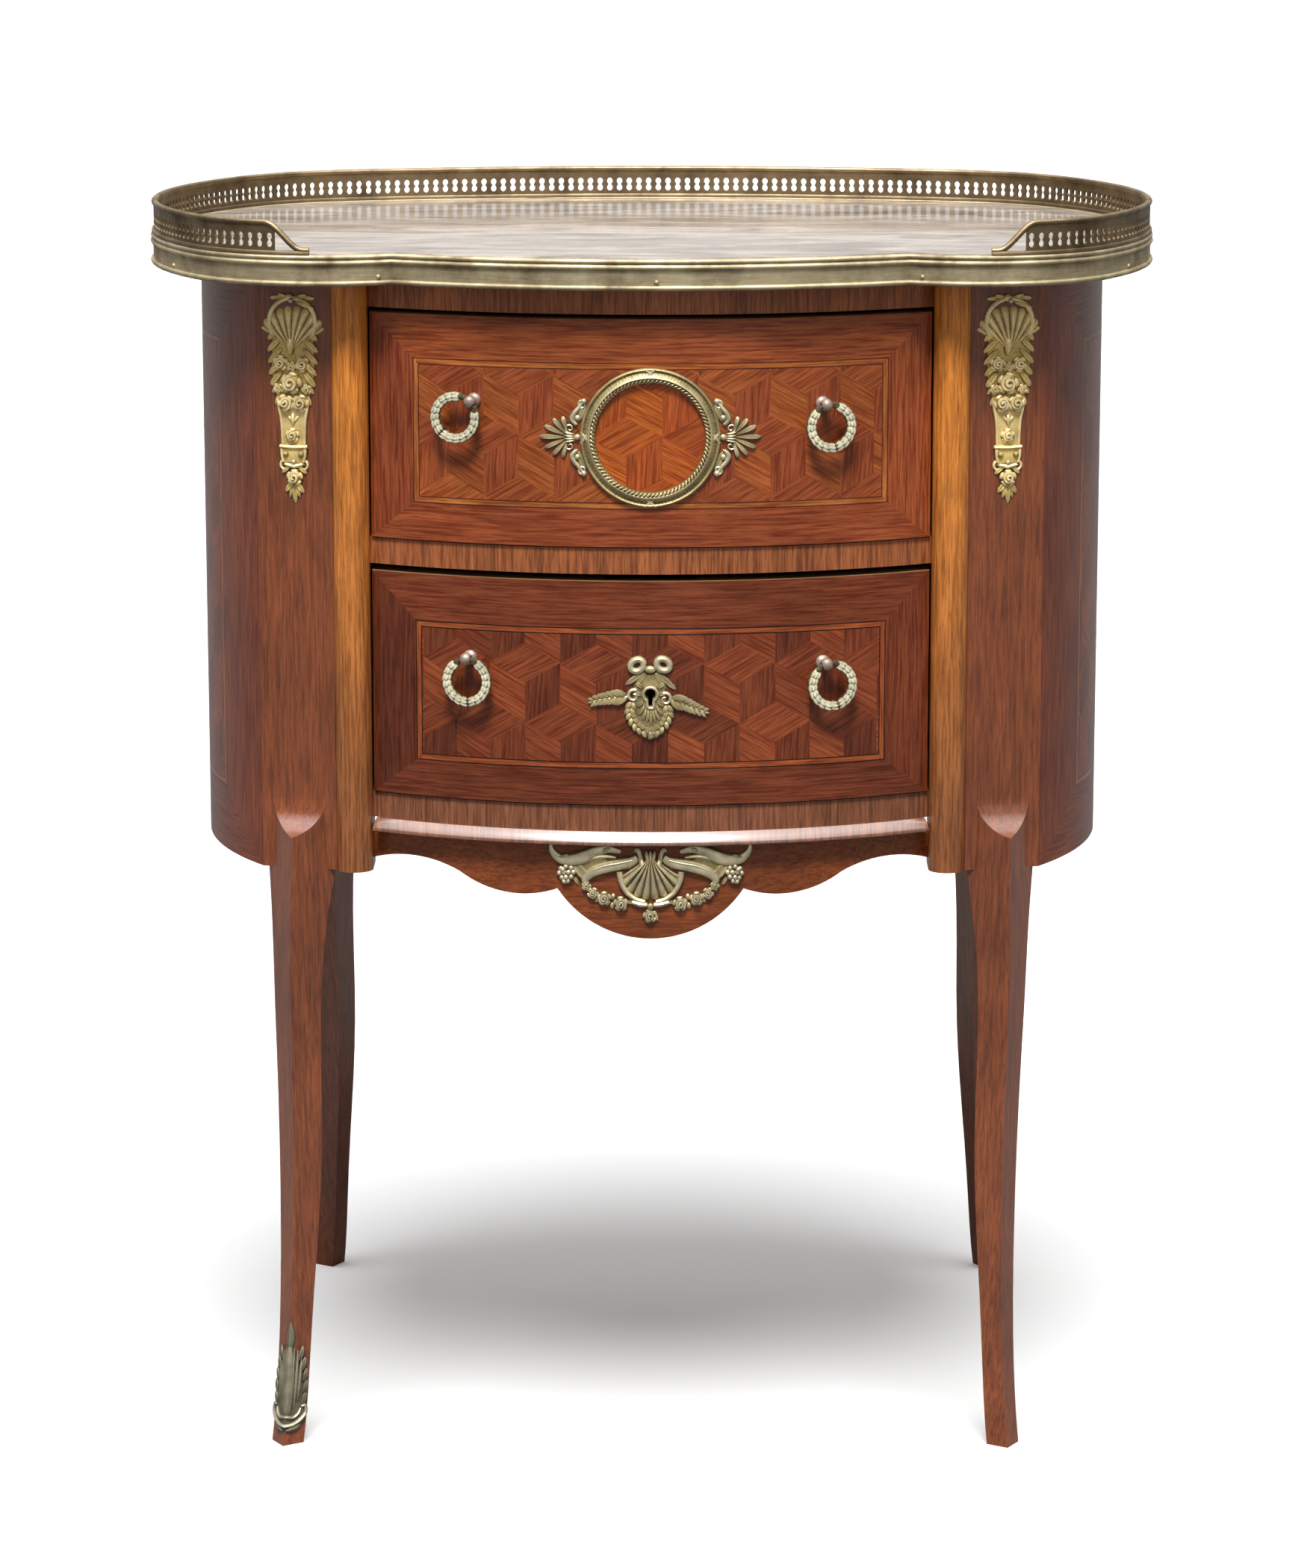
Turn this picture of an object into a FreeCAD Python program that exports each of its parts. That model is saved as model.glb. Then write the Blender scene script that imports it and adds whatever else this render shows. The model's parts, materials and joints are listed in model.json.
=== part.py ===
"""Small oval nightstand with two bowed drawers, a marble top in a brass rim and gilt bronze mounts.

Millimetres. +X is to the right, +Y to the back, +Z up. The origin is on the floor, below the rim's middle.
"""
import FreeCAD
import Part
import math
import os

Vec = FreeCAD.Vector

# Overall plan of the brass rim
RIM_WIDTH = 620.0
RIM_DEPTH = 414.0
END_FULLNESS = 38.0
END_SET_FORWARD = 10.0
CORNER_RADIUS = 118.0
BACK_RADIUS = 700.0
LOBE_RADIUS = 93.0
KINK_FROM_END = 157.0
KINK_SET_BACK = 34.0

# Heights, stacked upwards from the floor
LEG_HEIGHT = 352.0
APRON_HEIGHT = 24.5
MOULDING_HEIGHT = 8.0
BOTTOM_RAIL_HEIGHT = 15.7
DRAWER_FRONT_HEIGHT = 135.3
DRAWER_LIFT = 0.8
LOWER_DRAWER_HEADROOM = 4.2
MIDDLE_RAIL_HEIGHT = 15.7
UPPER_DRAWER_HEADROOM = 2.7
TOP_RAIL_HEIGHT = 15.5
TOP_BOARD_THICKNESS = 8.5
MARBLE_THICKNESS = 10.0
GALLERY_HEIGHT = 20.5

# Plan of the case
SIDE_OVERHANG = 30.0
POST_FROM_SIDE = 66.5
POST_FROM_RIM = 63.5
POST_ANGLE = 14.0
POST_WIDTH = 47.0
POST_DEPTH = 30.0
COLUMN_DIAMETER = 22.0
COLUMN_TAIL = 22.0
COLUMN_SET_BACK = 2.0
FRONT_BOW = 43.5
BACK_BOW = 29.0
SIDE_THICKNESS = 16.0
VENEER_THICKNESS = 1.2
BACK_THICKNESS = 12.0
BOARD_THICKNESS = 8.0
RAIL_SET_BACK = 1.5
RAIL_DEPTH = 28.5
MOULDING_PROJECTION = 5.0
APRON_SET_BACK = 4.0
APRON_THICKNESS = 14.0
TENON_LENGTH = 9.0
TENON_THICKNESS = 9.0
TENON_SHOULDER = 2.5
TENON_SET_BACK = 5.0
DUST_BOARD_RISE = 2.0

# Apron outline, half of it, as (distance from the middle, depth below the moulding)
LOBE_EDGE = (56.0, 28.5)
LOBE_DEPTH = 58.5
WING_LOW = (79.0, 32.7)
WING_TURN = (115.0, 21.5)
WING_HIGH = (143.0, 14.0)
WING_END_DEPTH = 18.0

# Legs: shield-shaped scoop below the post, then stations of the square leg
SCOOP_ABOVE_CASE_BOTTOM = 43.0
SCOOP_RADIUS = 22.0
# Each station: share of the leg's height, side of the square, arris ahead of the post face, arris inwards
LEG_STATIONS = (
    (1.14, 30.0, 17.5, 0.0),
    (1.0, 30.0, 17.5, 0.0),
    (0.94, 26.5, 19.0, 0.0),
    (0.84, 22.4, 21.0, 0.0),
    (0.66, 20.0, 24.0, 1.8),
    (0.45, 18.5, 28.0, 4.1),
    (0.27, 15.5, 33.5, 4.4),
    (0.12, 14.3, 42.0, 4.7),
    (0.0, 14.3, 53.0, 4.4),
)
# Hand-fitted legs: how far each foot stands out sideways from where the stations put it
FOOT_SPREAD = {
    "front_right_leg": -3.5,
    "front_left_leg": 3.5,
    "rear_right_leg": 9.7,
    "rear_left_leg": 2.7,
}

# Shoe of the front left foot
SABOT_WALL = 2.0
SABOT_EDGE = 1.0
SABOT_BOTTOM = 7.0
SABOT_TOP = 75.0

# Brass rim and gallery
RIM_WALL = 9.0
RIM_BEAD_HEIGHT = 3.2
RIM_REED_HEIGHT = 6.5
RIM_FASCIA_SET_BACK = 1.6
MARBLE_PLAY = 0.3
NAIL_HEAD_RADIUS = 1.6
NAIL_HEAD_HEIGHT = 0.8
NAIL_RADIUS = 0.8
NAIL_LENGTH = 14.0
NAIL_RISE = 5.0
GALLERY_SET_BACK = 3.0
GALLERY_WALL = 1.6
GALLERY_BASE_WIDTH = 4.0
GALLERY_BASE_HEIGHT = 2.4
GALLERY_RAIL_WIDTH = 4.0
GALLERY_RAIL_HEIGHT = 3.6
GALLERY_END_FROM_SIDE = 110.0
GALLERY_RAMP = 22.0
GALLERY_END_HEIGHT = 4.0

# Drawers
DRAWER_SIDE_GAP = 1.2
DRAWER_FRONT_THICKNESS = 18.8
DRAWER_SIDE_INSET = 2.8
DRAWER_SIDE_THICKNESS = 10.0
DRAWER_BACK_THICKNESS = 9.0
DRAWER_BOTTOM_THICKNESS = 6.0
DRAWER_BOTTOM_RISE = 8.0
DRAWER_GROOVE = 4.0
DRAWER_SIDE_DROP = 17.0
DRAWER_REAR_ROOM = 19.0
DRAWER_RUN_CLEARANCE = 0.2
GUIDE_GAP = 1.0
GUIDE_WIDTH = 11.0
GUIDE_HEIGHT = 16.0
GUIDE_ROOM = 6.0
RUNNER_INSET = 20.0
STOP_LENGTH = 20.0
STOP_DEPTH = 8.0
STOP_HEIGHT = 5.5
STOP_FROM_MIDDLE = 100.0
STOP_GAP = 0.3

# Ring pulls
RING_RADIUS = 13.3
RING_WIRE_RADIUS = 2.2
STUD_PLACE = 0.37
STUD_ABOVE_MIDDLE = 18.0
STUD_STAND_OFF = 8.0
STUD_BALL_RADIUS = 5.6
STUD_NECK_RADIUS = 2.4
STUD_COLLAR_RADIUS = 4.4
STUD_COLLAR_HEIGHT = 1.5
STUD_SHANK_RADIUS = 2.0
EYE_DROP = 1.0
EYE_PLAY = 0.35
EYE_FLARE = 1.4
NUT_RADIUS = 5.0
NUT_HEIGHT = 3.5
NUT_GAP = 0.1
HOLE_PLAY = 0.2
# Hand-fitted pulls: turn of each ring to the right in degrees, shift of its stud to the right, shift upwards
RING_FIT = {
    "upper_left_ring": (-43.0, 0.3, 0.9),
    "upper_right_ring": (13.0, -2.5, -0.7),
    "lower_left_ring": (3.0, -3.7, 2.4),
    "lower_right_ring": (16.0, -1.5, -0.3),
}

# Lock of the lower drawer
LOCK_WIDTH = 56.0
LOCK_DEPTH = 9.0
LOCK_WALL = 1.5
LOCK_BELOW_KEY = 20.0
LOCK_PLATE_MARGIN = 7.0
BOLT_WIDTH = 16.0
BOLT_THICKNESS = 4.4
BOLT_LENGTH = 40.0
BOLT_TRAVEL = 7.0
BOLT_PLAY = 0.2
LOCK_SCREW_RADIUS = 1.5
LOCK_SCREW_HEAD_RADIUS = 2.8
LOCK_SCREW_HEAD_HEIGHT = 1.2
LOCK_SCREW_LENGTH = 9.0
KEYHOLE_RADIUS = 3.0
KEYHOLE_SLOT_WIDTH = 2.6
KEYHOLE_SLOT_LENGTH = 8.0

# Bronze mounts
MEDALLION_OUTER_RADIUS = 41.5
MEDALLION_INNER_RADIUS = 33.0
MEDALLION_THICKNESS = 4.0
PALMETTE_REACH = 66.0
PALMETTE_HALF_HEIGHT = 17.0
PALMETTE_ROOT_HALF_HEIGHT = 9.0
PALMETTE_SHOULDER = 12.0
MEDALLION_DROP = 2.2
MEDALLION_PIN_INSET = 8.0
ESCUTCHEON_THICKNESS = 2.4
ESCUTCHEON_TILT = 4.5
# Half outline of the escutcheon: half width, height above the keyhole
ESCUTCHEON_OUTLINE = (
    (13.0, 25.0), (9.0, 14.0), (15.0, 5.0), (38.0, -4.0),
    (38.0, -15.0), (16.0, -9.0), (13.0, -20.0), (4.0, -26.0),
)
# Pins of the escutcheon: distance from the middle, height above the keyhole
ESCUTCHEON_PINS = ((0.0, 20.0), (-32.0, -7.5), (32.0, -7.5), (0.0, -21.0))
APRON_MOUNT_TOP_GAP = 2.0
APRON_MOUNT_THICKNESS = 7.0
# Half outline of the apron mount: half width, depth below its top
APRON_MOUNT_OUTLINE = (
    (26.0, 0.0), (44.0, 9.0), (54.0, 9.0), (61.0, 2.0), (62.0, 12.0), (54.0, 22.0),
    (44.0, 34.0), (30.0, 40.0), (12.0, 42.0), (6.0, 48.0), (0.0, 48.0),
)
APRON_PIN_FROM_MIDDLE = 53.0
APRON_PIN_DROP = 14.0
CHUTE_TOP_GAP = 7.0
CHUTE_THICKNESS = 6.0
# Half outline of the chute: half width, depth below its top
CHUTE_OUTLINE = (
    (8.0, 0.0), (16.0, 12.0), (16.0, 48.0), (9.0, 62.0), (6.0, 92.0),
    (9.0, 98.0), (9.0, 107.0), (5.0, 114.0), (0.0, 128.0),
)
CHUTE_PIN_DROPS = (5.0, 102.0)
PIN_RADIUS = 0.8
PIN_HEAD_RADIUS = 1.6
PIN_HEAD_HEIGHT = 0.8
PIN_DEPTH = 8.0

# Levels worked out from the stack of heights
MOULDING_BOTTOM = LEG_HEIGHT + APRON_HEIGHT
BOTTOM_RAIL_BOTTOM = MOULDING_BOTTOM + MOULDING_HEIGHT
LOWER_RUNNER_TOP = BOTTOM_RAIL_BOTTOM + BOTTOM_RAIL_HEIGHT
LOWER_FRONT_BOTTOM = LOWER_RUNNER_TOP + DRAWER_LIFT
LOWER_FRONT_TOP = LOWER_FRONT_BOTTOM + DRAWER_FRONT_HEIGHT
MIDDLE_RAIL_BOTTOM = LOWER_FRONT_TOP + LOWER_DRAWER_HEADROOM
UPPER_RUNNER_TOP = MIDDLE_RAIL_BOTTOM + MIDDLE_RAIL_HEIGHT
UPPER_FRONT_BOTTOM = UPPER_RUNNER_TOP + DRAWER_LIFT
UPPER_FRONT_TOP = UPPER_FRONT_BOTTOM + DRAWER_FRONT_HEIGHT
TOP_RAIL_BOTTOM = UPPER_FRONT_TOP + UPPER_DRAWER_HEADROOM
CASE_TOP = TOP_RAIL_BOTTOM + TOP_RAIL_HEIGHT
MARBLE_BOTTOM = CASE_TOP + TOP_BOARD_THICKNESS
RIM_TOP = MARBLE_BOTTOM + MARBLE_THICKNESS

# Plan values worked out from the driving sizes
RIM_HALF = RIM_WIDTH / 2
RIM_FRONT = -RIM_DEPTH / 2
RIM_BACK = RIM_DEPTH / 2
END_RADIUS = RIM_DEPTH / 2 + END_FULLNESS
CASE_HALF = RIM_HALF - SIDE_OVERHANG
POST_TURN = math.radians(POST_ANGLE)
POST_X = CASE_HALF - POST_FROM_SIDE
POST_Y = RIM_FRONT + POST_FROM_RIM
POST_OUT_X = POST_X + POST_WIDTH / 2 * math.cos(POST_TURN)
POST_OUT_Y = POST_Y + POST_WIDTH / 2 * math.sin(POST_TURN)
POST_IN_X = POST_X - POST_WIDTH / 2 * math.cos(POST_TURN)
POST_IN_Y = POST_Y - POST_WIDTH / 2 * math.sin(POST_TURN)
OPENING_HALF = POST_IN_X - COLUMN_DIAMETER
COLUMN_X = OPENING_HALF + COLUMN_DIAMETER / 2
COLUMN_Y = POST_IN_Y + COLUMN_SET_BACK


def arc_radius(half_chord, rise):
    """Radius of the arc over a chord, from half the chord and the arc's rise."""
    return (half_chord ** 2 + rise ** 2) / (2 * rise)


SIDE_RADIUS = arc_radius(-POST_OUT_Y, CASE_HALF - POST_OUT_X)
SIDE_CENTRE_X = CASE_HALF - SIDE_RADIUS
BOW_RADIUS = arc_radius(OPENING_HALF, FRONT_BOW)
BOW_FRONT = COLUMN_Y - FRONT_BOW
BOW_CENTRE_Y = BOW_FRONT + BOW_RADIUS
RAIL_OUTER = BOW_RADIUS - RAIL_SET_BACK
RAIL_INNER = RAIL_OUTER - RAIL_DEPTH
FRONT_OUTER = BOW_RADIUS - VENEER_THICKNESS
FRONT_INNER = FRONT_OUTER - DRAWER_FRONT_THICKNESS
APRON_OUTER = BOW_RADIUS - APRON_SET_BACK
BACK_PANEL_RADIUS = arc_radius(POST_IN_X, BACK_BOW)
BACK_PANEL_CENTRE_Y = -POST_IN_Y + BACK_BOW - BACK_PANEL_RADIUS
DRAWER_HALF = OPENING_HALF - DRAWER_SIDE_GAP
DRAWER_SIDE_OUT = DRAWER_HALF - DRAWER_SIDE_INSET
DRAWER_SIDE_IN = DRAWER_SIDE_OUT - DRAWER_SIDE_THICKNESS
DRAWER_REAR = -POST_IN_Y - DRAWER_REAR_ROOM
GUIDE_START = BOW_CENTRE_Y - math.sqrt(FRONT_INNER ** 2 - DRAWER_HALF ** 2) + GUIDE_ROOM
STUD_FROM_MIDDLE = PALMETTE_REACH + STUD_PLACE * (OPENING_HALF - PALMETTE_REACH)
EYE_RADIUS = RING_WIRE_RADIUS + EYE_PLAY
FAR = 2 * (RIM_WIDTH + RIM_DEPTH)


def box(x0, x1, y0, y1, z0, z1):
    """Box between two corners."""
    return Part.makeBox(x1 - x0, y1 - y0, z1 - z0, Vec(x0, y0, z0))


def disc(x, y, radius, z0, z1):
    """Upright round prism."""
    return Part.makeCylinder(radius, z1 - z0, Vec(x, y, z0))


def ring_wall(x, y, outer, inner, z0, z1):
    """Upright tube wall between two radii."""
    return disc(x, y, outer, z0, z1).cut(disc(x, y, inner, z0, z1))


def cut_all(shape, tools):
    """The shape less every tool."""
    for tool in tools:
        shape = shape.cut(tool)
    return shape


def fuse_all(shapes):
    """One clean solid from touching or overlapping shapes."""
    return shapes[0].multiFuse(shapes[1:]).removeSplitter()


def mirror_x(shape):
    """The shape on the other side of the middle."""
    return shape.mirror(Vec(0, 0, 0), Vec(1, 0, 0))


def mirror_y(shape):
    """The shape turned from the front to the back."""
    return shape.mirror(Vec(0, 0, 0), Vec(0, 1, 0))


def prism(points, direction):
    """Prism on a closed polygon."""
    return Part.Face(Part.makePolygon(points + [points[0]])).extrude(direction)


def arc(start, middle, end):
    """Circular edge through three points."""
    return Part.Arc(start, middle, end).toShape()


def circle_meet(first, first_radius, second, second_radius):
    """Meeting point of two circles, on the left of the line from the first centre to the second."""
    dx = second[0] - first[0]
    dy = second[1] - first[1]
    gap = math.hypot(dx, dy)
    along = (first_radius ** 2 - second_radius ** 2 + gap ** 2) / (2 * gap)
    across = math.sqrt(first_radius ** 2 - along ** 2)
    return (
        first[0] + (dx * along - dy * across) / gap,
        first[1] + (dy * along + dx * across) / gap,
    )


# Centres of the rim's arcs, right half
KINK = (RIM_HALF - KINK_FROM_END, RIM_FRONT + KINK_SET_BACK)
RIM_BOW_RADIUS = arc_radius(KINK[0], KINK_SET_BACK)
RIM_BOW_CENTRE = (0.0, RIM_FRONT + RIM_BOW_RADIUS)
END_CENTRE = (RIM_HALF - END_RADIUS, -END_SET_FORWARD)
LOBE_CENTRE = circle_meet(END_CENTRE, END_RADIUS - LOBE_RADIUS, KINK, LOBE_RADIUS)
BACK_CENTRE = (0.0, RIM_BACK - BACK_RADIUS)
CORNER_CENTRE = circle_meet(END_CENTRE, END_RADIUS - CORNER_RADIUS, BACK_CENTRE, BACK_RADIUS - CORNER_RADIUS)


def beyond(centre, through, radius):
    """Point at a distance from a centre, towards another point."""
    dx = through[0] - centre[0]
    dy = through[1] - centre[1]
    length = math.hypot(dx, dy)
    return (centre[0] + dx / length * radius, centre[1] + dy / length * radius)


def arc_middle(centre, radius, start, end):
    """Middle of the shorter arc between two points of a circle."""
    return beyond(centre, ((start[0] + end[0]) / 2, (start[1] + end[1]) / 2), radius)


def rim_face(offset, z):
    """Face of the rim's plan, moved outwards by an offset."""
    kink = circle_meet(LOBE_CENTRE, LOBE_RADIUS + offset, RIM_BOW_CENTRE, RIM_BOW_RADIUS + offset)
    lobe_end = beyond(END_CENTRE, LOBE_CENTRE, END_RADIUS + offset)
    end_corner = beyond(END_CENTRE, CORNER_CENTRE, END_RADIUS + offset)
    corner_back = beyond(BACK_CENTRE, CORNER_CENTRE, BACK_RADIUS + offset)
    runs = (
        (kink, arc_middle(LOBE_CENTRE, LOBE_RADIUS + offset, kink, lobe_end), lobe_end),
        (lobe_end, (RIM_HALF + offset, END_CENTRE[1]), end_corner),
        (end_corner, arc_middle(CORNER_CENTRE, CORNER_RADIUS + offset, end_corner, corner_back), corner_back),
    )
    edges = []
    for run in runs:
        right = [Vec(x, y, z) for x, y in run]
        left = [Vec(-x, y, z) for x, y in run]
        edges.append(arc(*right))
        edges.append(arc(*left))
    edges.append(arc(Vec(-kink[0], kink[1], z), Vec(0, RIM_FRONT - offset, z), Vec(kink[0], kink[1], z)))
    back_end = Vec(corner_back[0], corner_back[1], z)
    edges.append(arc(back_end, Vec(0, RIM_BACK + offset, z), Vec(-corner_back[0], corner_back[1], z)))
    return Part.Face(Part.Wire(Part.__sortEdges__(edges)))


def rim_prism(offset, z0, z1):
    """Prism on the rim's plan, moved outwards by an offset."""
    return rim_face(offset, z0).extrude(Vec(0, 0, z1 - z0))


def bow_wall(outer, inner, half_width, z0, z1):
    """Bowed front board between two radii, as wide as given."""
    wall = ring_wall(0, BOW_CENTRE_Y, outer, inner, z0, z1)
    return wall.common(box(-half_width, half_width, BOW_CENTRE_Y - BOW_RADIUS * 2, BOW_CENTRE_Y, z0, z1))


def bow_turn(x):
    """Turn of the bowed front at a distance from the middle."""
    return math.asin(x / BOW_RADIUS)


def bow_point(x, z, radius):
    """Point at a radius from the bow's centre, square to the front at x."""
    turn = bow_turn(x)
    return Vec(radius * math.sin(turn), BOW_CENTRE_Y - radius * math.cos(turn), z)


def bow_normal(x):
    """Outward direction of the bowed front at x."""
    turn = bow_turn(x)
    return Vec(math.sin(turn), -math.cos(turn), 0)


def bow_rod(x, z, radius, r0, r1):
    """Round rod square to the bowed front, between two radii of the bow."""
    return Part.makeCylinder(radius, r1 - r0, bow_point(x, z, r0), bow_normal(x))


def bow_pin(x, z, face, depth):
    """Round-headed pin through a mount on the bowed front, with its head on the mount's face."""
    shank = bow_rod(x, z, PIN_RADIUS, face - depth, face)
    return shank.fuse(bow_rod(x, z, PIN_HEAD_RADIUS, face, face + PIN_HEAD_HEIGHT)).removeSplitter()


def bow_plate(profile, outer, inner):
    """Mount plate bent to the bowed front: a profile seen from the front, between two radii."""
    prism_y = profile.extrude(Vec(0, -BOW_CENTRE_Y + RIM_FRONT, 0))
    return prism_y.common(ring_wall(0, BOW_CENTRE_Y, outer, inner, LEG_HEIGHT - APRON_HEIGHT * 2, CASE_TOP))


def front_face(points):
    """Upright polygon face at the bow's centre, from points seen from the front."""
    corners = [Vec(x, BOW_CENTRE_Y, z) for x, z in points]
    return Part.Face(Part.makePolygon(corners + [corners[0]]))


def front_disc(x, z, radius):
    """Upright round face at the bow's centre."""
    circle = Part.makeCircle(radius, Vec(x, BOW_CENTRE_Y, z), Vec(0, 1, 0))
    return Part.Face(Part.Wire(circle))


def both_sides(half):
    """Closed outline from its right half, which runs from top to bottom."""
    return [(x, z) for x, z in half] + [(-x, z) for x, z in reversed(half) if x > 0]


def on_post(across, forward, z):
    """Point on the front right post: along its face, out from its face, and height."""
    return Vec(
        POST_X + across * math.cos(POST_TURN) + forward * math.sin(POST_TURN),
        POST_Y + across * math.sin(POST_TURN) - forward * math.cos(POST_TURN),
        z,
    )


POST_ACROSS = Vec(math.cos(POST_TURN), math.sin(POST_TURN), 0)
POST_OUT = Vec(math.sin(POST_TURN), -math.cos(POST_TURN), 0)


def leg_section(station, spread, wall=None):
    """Square section of the leg, on its corner; with a wall, only its front, grown by that wall."""
    share, side, forward, inward = station
    grown = wall or 0.0
    half = (side + 2 * grown) / math.sqrt(2)
    tip = forward + grown * math.sqrt(2)
    z = share * LEG_HEIGHT
    middle = spread * max(0.0, 1 - share) - inward
    reach = half if wall is None else half - SABOT_EDGE
    plan = [(middle - reach, tip - reach), (middle, tip), (middle + reach, tip - reach)]
    if wall is None:
        plan.append((middle, tip - 2 * half))
    corners = [on_post(across, ahead, z) for across, ahead in plan]
    return Part.makePolygon(corners + [corners[0]])


def leg_loft(spread, wall=None):
    """Run of the leg through all its stations; with a wall, its front, grown by that wall."""
    return Part.makeLoft([leg_section(station, spread, wall) for station in LEG_STATIONS], True)


def leg(spread):
    """Front right leg: canted post, scoop and cabriole leg in one piece of wood."""
    half = POST_WIDTH / 2
    plan = ((-half, 0), (half, 0), (half, -POST_DEPTH), (-half, -POST_DEPTH))
    post = prism([on_post(a, f, LEG_HEIGHT) for a, f in plan], Vec(0, 0, CASE_TOP - LEG_HEIGHT))
    wide = ((-POST_WIDTH, 0), (POST_WIDTH, 0), (POST_WIDTH, -2 * POST_DEPTH), (-POST_WIDTH, -2 * POST_DEPTH))
    behind_face = prism([on_post(a, f, LEG_HEIGHT) for a, f in wide], Vec(0, 0, CASE_TOP - LEG_HEIGHT))
    scoop_top = LEG_HEIGHT + SCOOP_ABOVE_CASE_BOTTOM
    bend = SCOOP_RADIUS * math.sqrt(0.5)
    edges = [
        arc(
            on_post(-POST_WIDTH, 0, scoop_top),
            on_post(-POST_WIDTH, SCOOP_RADIUS - bend, scoop_top - bend),
            on_post(-POST_WIDTH, SCOOP_RADIUS, scoop_top - SCOOP_RADIUS),
        ),
    ]
    corners = [(SCOOP_RADIUS, scoop_top - SCOOP_RADIUS), (POST_WIDTH, scoop_top - SCOOP_RADIUS)]
    corners += [(POST_WIDTH, CASE_TOP), (0, CASE_TOP), (0, scoop_top)]
    points = [on_post(-POST_WIDTH, f, z) for f, z in corners]
    edges += [Part.makeLine(a, b) for a, b in zip(points, points[1:])]
    scoop = Part.Face(Part.Wire(edges)).extrude(POST_ACROSS * (2 * POST_WIDTH))
    return post.fuse(cut_all(leg_loft(spread), [scoop, behind_face])).removeSplitter()


def sabot(spread):
    """Bronze shoe on the two front faces of a right foot, before it is mirrored."""
    span = box(-FAR, FAR, -FAR, FAR, SABOT_BOTTOM, SABOT_TOP)
    return leg_loft(spread, SABOT_WALL).common(span).cut(leg_loft(spread))


def rail(z0, z1):
    """Bowed rail with a tenon at each end."""
    body = bow_wall(RAIL_OUTER, RAIL_INNER, OPENING_HALF, z0, z1)
    tenon_y = COLUMN_Y + TENON_SET_BACK
    tenon = box(
        OPENING_HALF - TENON_LENGTH, OPENING_HALF + TENON_LENGTH, tenon_y, tenon_y + TENON_THICKNESS,
        z0 + TENON_SHOULDER, z1 - TENON_SHOULDER,
    )
    return fuse_all([body, tenon, mirror_x(tenon)])


def column(rails, post):
    """Right half-round column with a square tail behind it."""
    shaft = disc(COLUMN_X, COLUMN_Y, COLUMN_DIAMETER / 2, LEG_HEIGHT, CASE_TOP)
    tail_end = COLUMN_Y + COLUMN_TAIL
    tail = box(OPENING_HALF, OPENING_HALF + COLUMN_DIAMETER, COLUMN_Y, tail_end, LEG_HEIGHT, CASE_TOP)
    return cut_all(shaft.fuse(tail).removeSplitter(), rails + [post])


def side_shell(outer, inner, legs):
    """Curved upright board of the right side, between the two posts."""
    wall = ring_wall(SIDE_CENTRE_X, 0, outer, inner, LEG_HEIGHT, CASE_TOP)
    span = box(POST_X, CASE_HALF, POST_OUT_Y, -POST_OUT_Y, LEG_HEIGHT, CASE_TOP)
    return cut_all(wall.common(span), legs)


def back_panel(legs):
    """Bowed back board between the rear posts."""
    outer = BACK_PANEL_RADIUS
    wall = ring_wall(0, BACK_PANEL_CENTRE_Y, outer, outer - BACK_THICKNESS, LEG_HEIGHT, CASE_TOP)
    span = box(-POST_IN_X, POST_IN_X, 0, FAR, LEG_HEIGHT, CASE_TOP)
    return cut_all(wall.common(span), legs)


def inside_board(z0, z1, neighbours):
    """Level board that fills the case between its walls."""
    opening = box(-OPENING_HALF, OPENING_HALF, RIM_FRONT, 0, z0, z1)
    behind_rail = disc(0, BOW_CENTRE_Y, RAIL_INNER, z0, z1).common(opening)
    rest = box(-CASE_HALF, CASE_HALF, COLUMN_Y + COLUMN_TAIL, RIM_BACK, z0, z1)
    whole = behind_rail.fuse(rest)
    inner_side = SIDE_RADIUS - SIDE_THICKNESS
    middle = box(0, max(SIDE_CENTRE_X, SIDE_THICKNESS), RIM_FRONT, RIM_BACK, z0, z1)
    right = disc(SIDE_CENTRE_X, 0, inner_side, z0, z1).fuse(middle)
    right = right.common(box(0, CASE_HALF, RIM_FRONT, RIM_BACK, z0, z1))
    limits = right.fuse(mirror_x(right)).removeSplitter()
    inner_back = disc(0, BACK_PANEL_CENTRE_Y, BACK_PANEL_RADIUS - BACK_THICKNESS, z0, z1)
    board = whole.common(limits).common(inner_back)
    return cut_all(board, neighbours).removeSplitter()


def back_inner_y(x):
    """Inner face of the back panel at a distance from the middle."""
    radius = BACK_PANEL_RADIUS - BACK_THICKNESS
    return BACK_PANEL_CENTRE_Y + math.sqrt(radius ** 2 - x ** 2)


def runner(z0, z1, neighbours):
    """Right drawer runner, from the rail to the back panel."""
    out = DRAWER_SIDE_OUT + GUIDE_GAP + GUIDE_WIDTH
    strip = box(OPENING_HALF - RUNNER_INSET, out, RIM_FRONT, back_inner_y(out), z0, z1)
    strip = strip.common(disc(0, BOW_CENTRE_Y, RAIL_INNER, z0, z1))
    return cut_all(strip, neighbours)


def guide(z):
    """Right drawer guide, on the runner."""
    inner = DRAWER_SIDE_OUT + GUIDE_GAP
    outer = inner + GUIDE_WIDTH
    return box(inner, outer, GUIDE_START, back_inner_y(outer), z, z + GUIDE_HEIGHT)


def stop(z):
    """Right drawer stop, on the rail behind the drawer front."""
    reach = STOP_FROM_MIDDLE + STOP_LENGTH
    wall = bow_wall(FRONT_INNER - STOP_GAP, FRONT_INNER - STOP_GAP - STOP_DEPTH, reach, z, z + STOP_HEIGHT)
    return wall.common(box(STOP_FROM_MIDDLE, reach, RIM_FRONT, RIM_BACK, z, z + STOP_HEIGHT))


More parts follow.
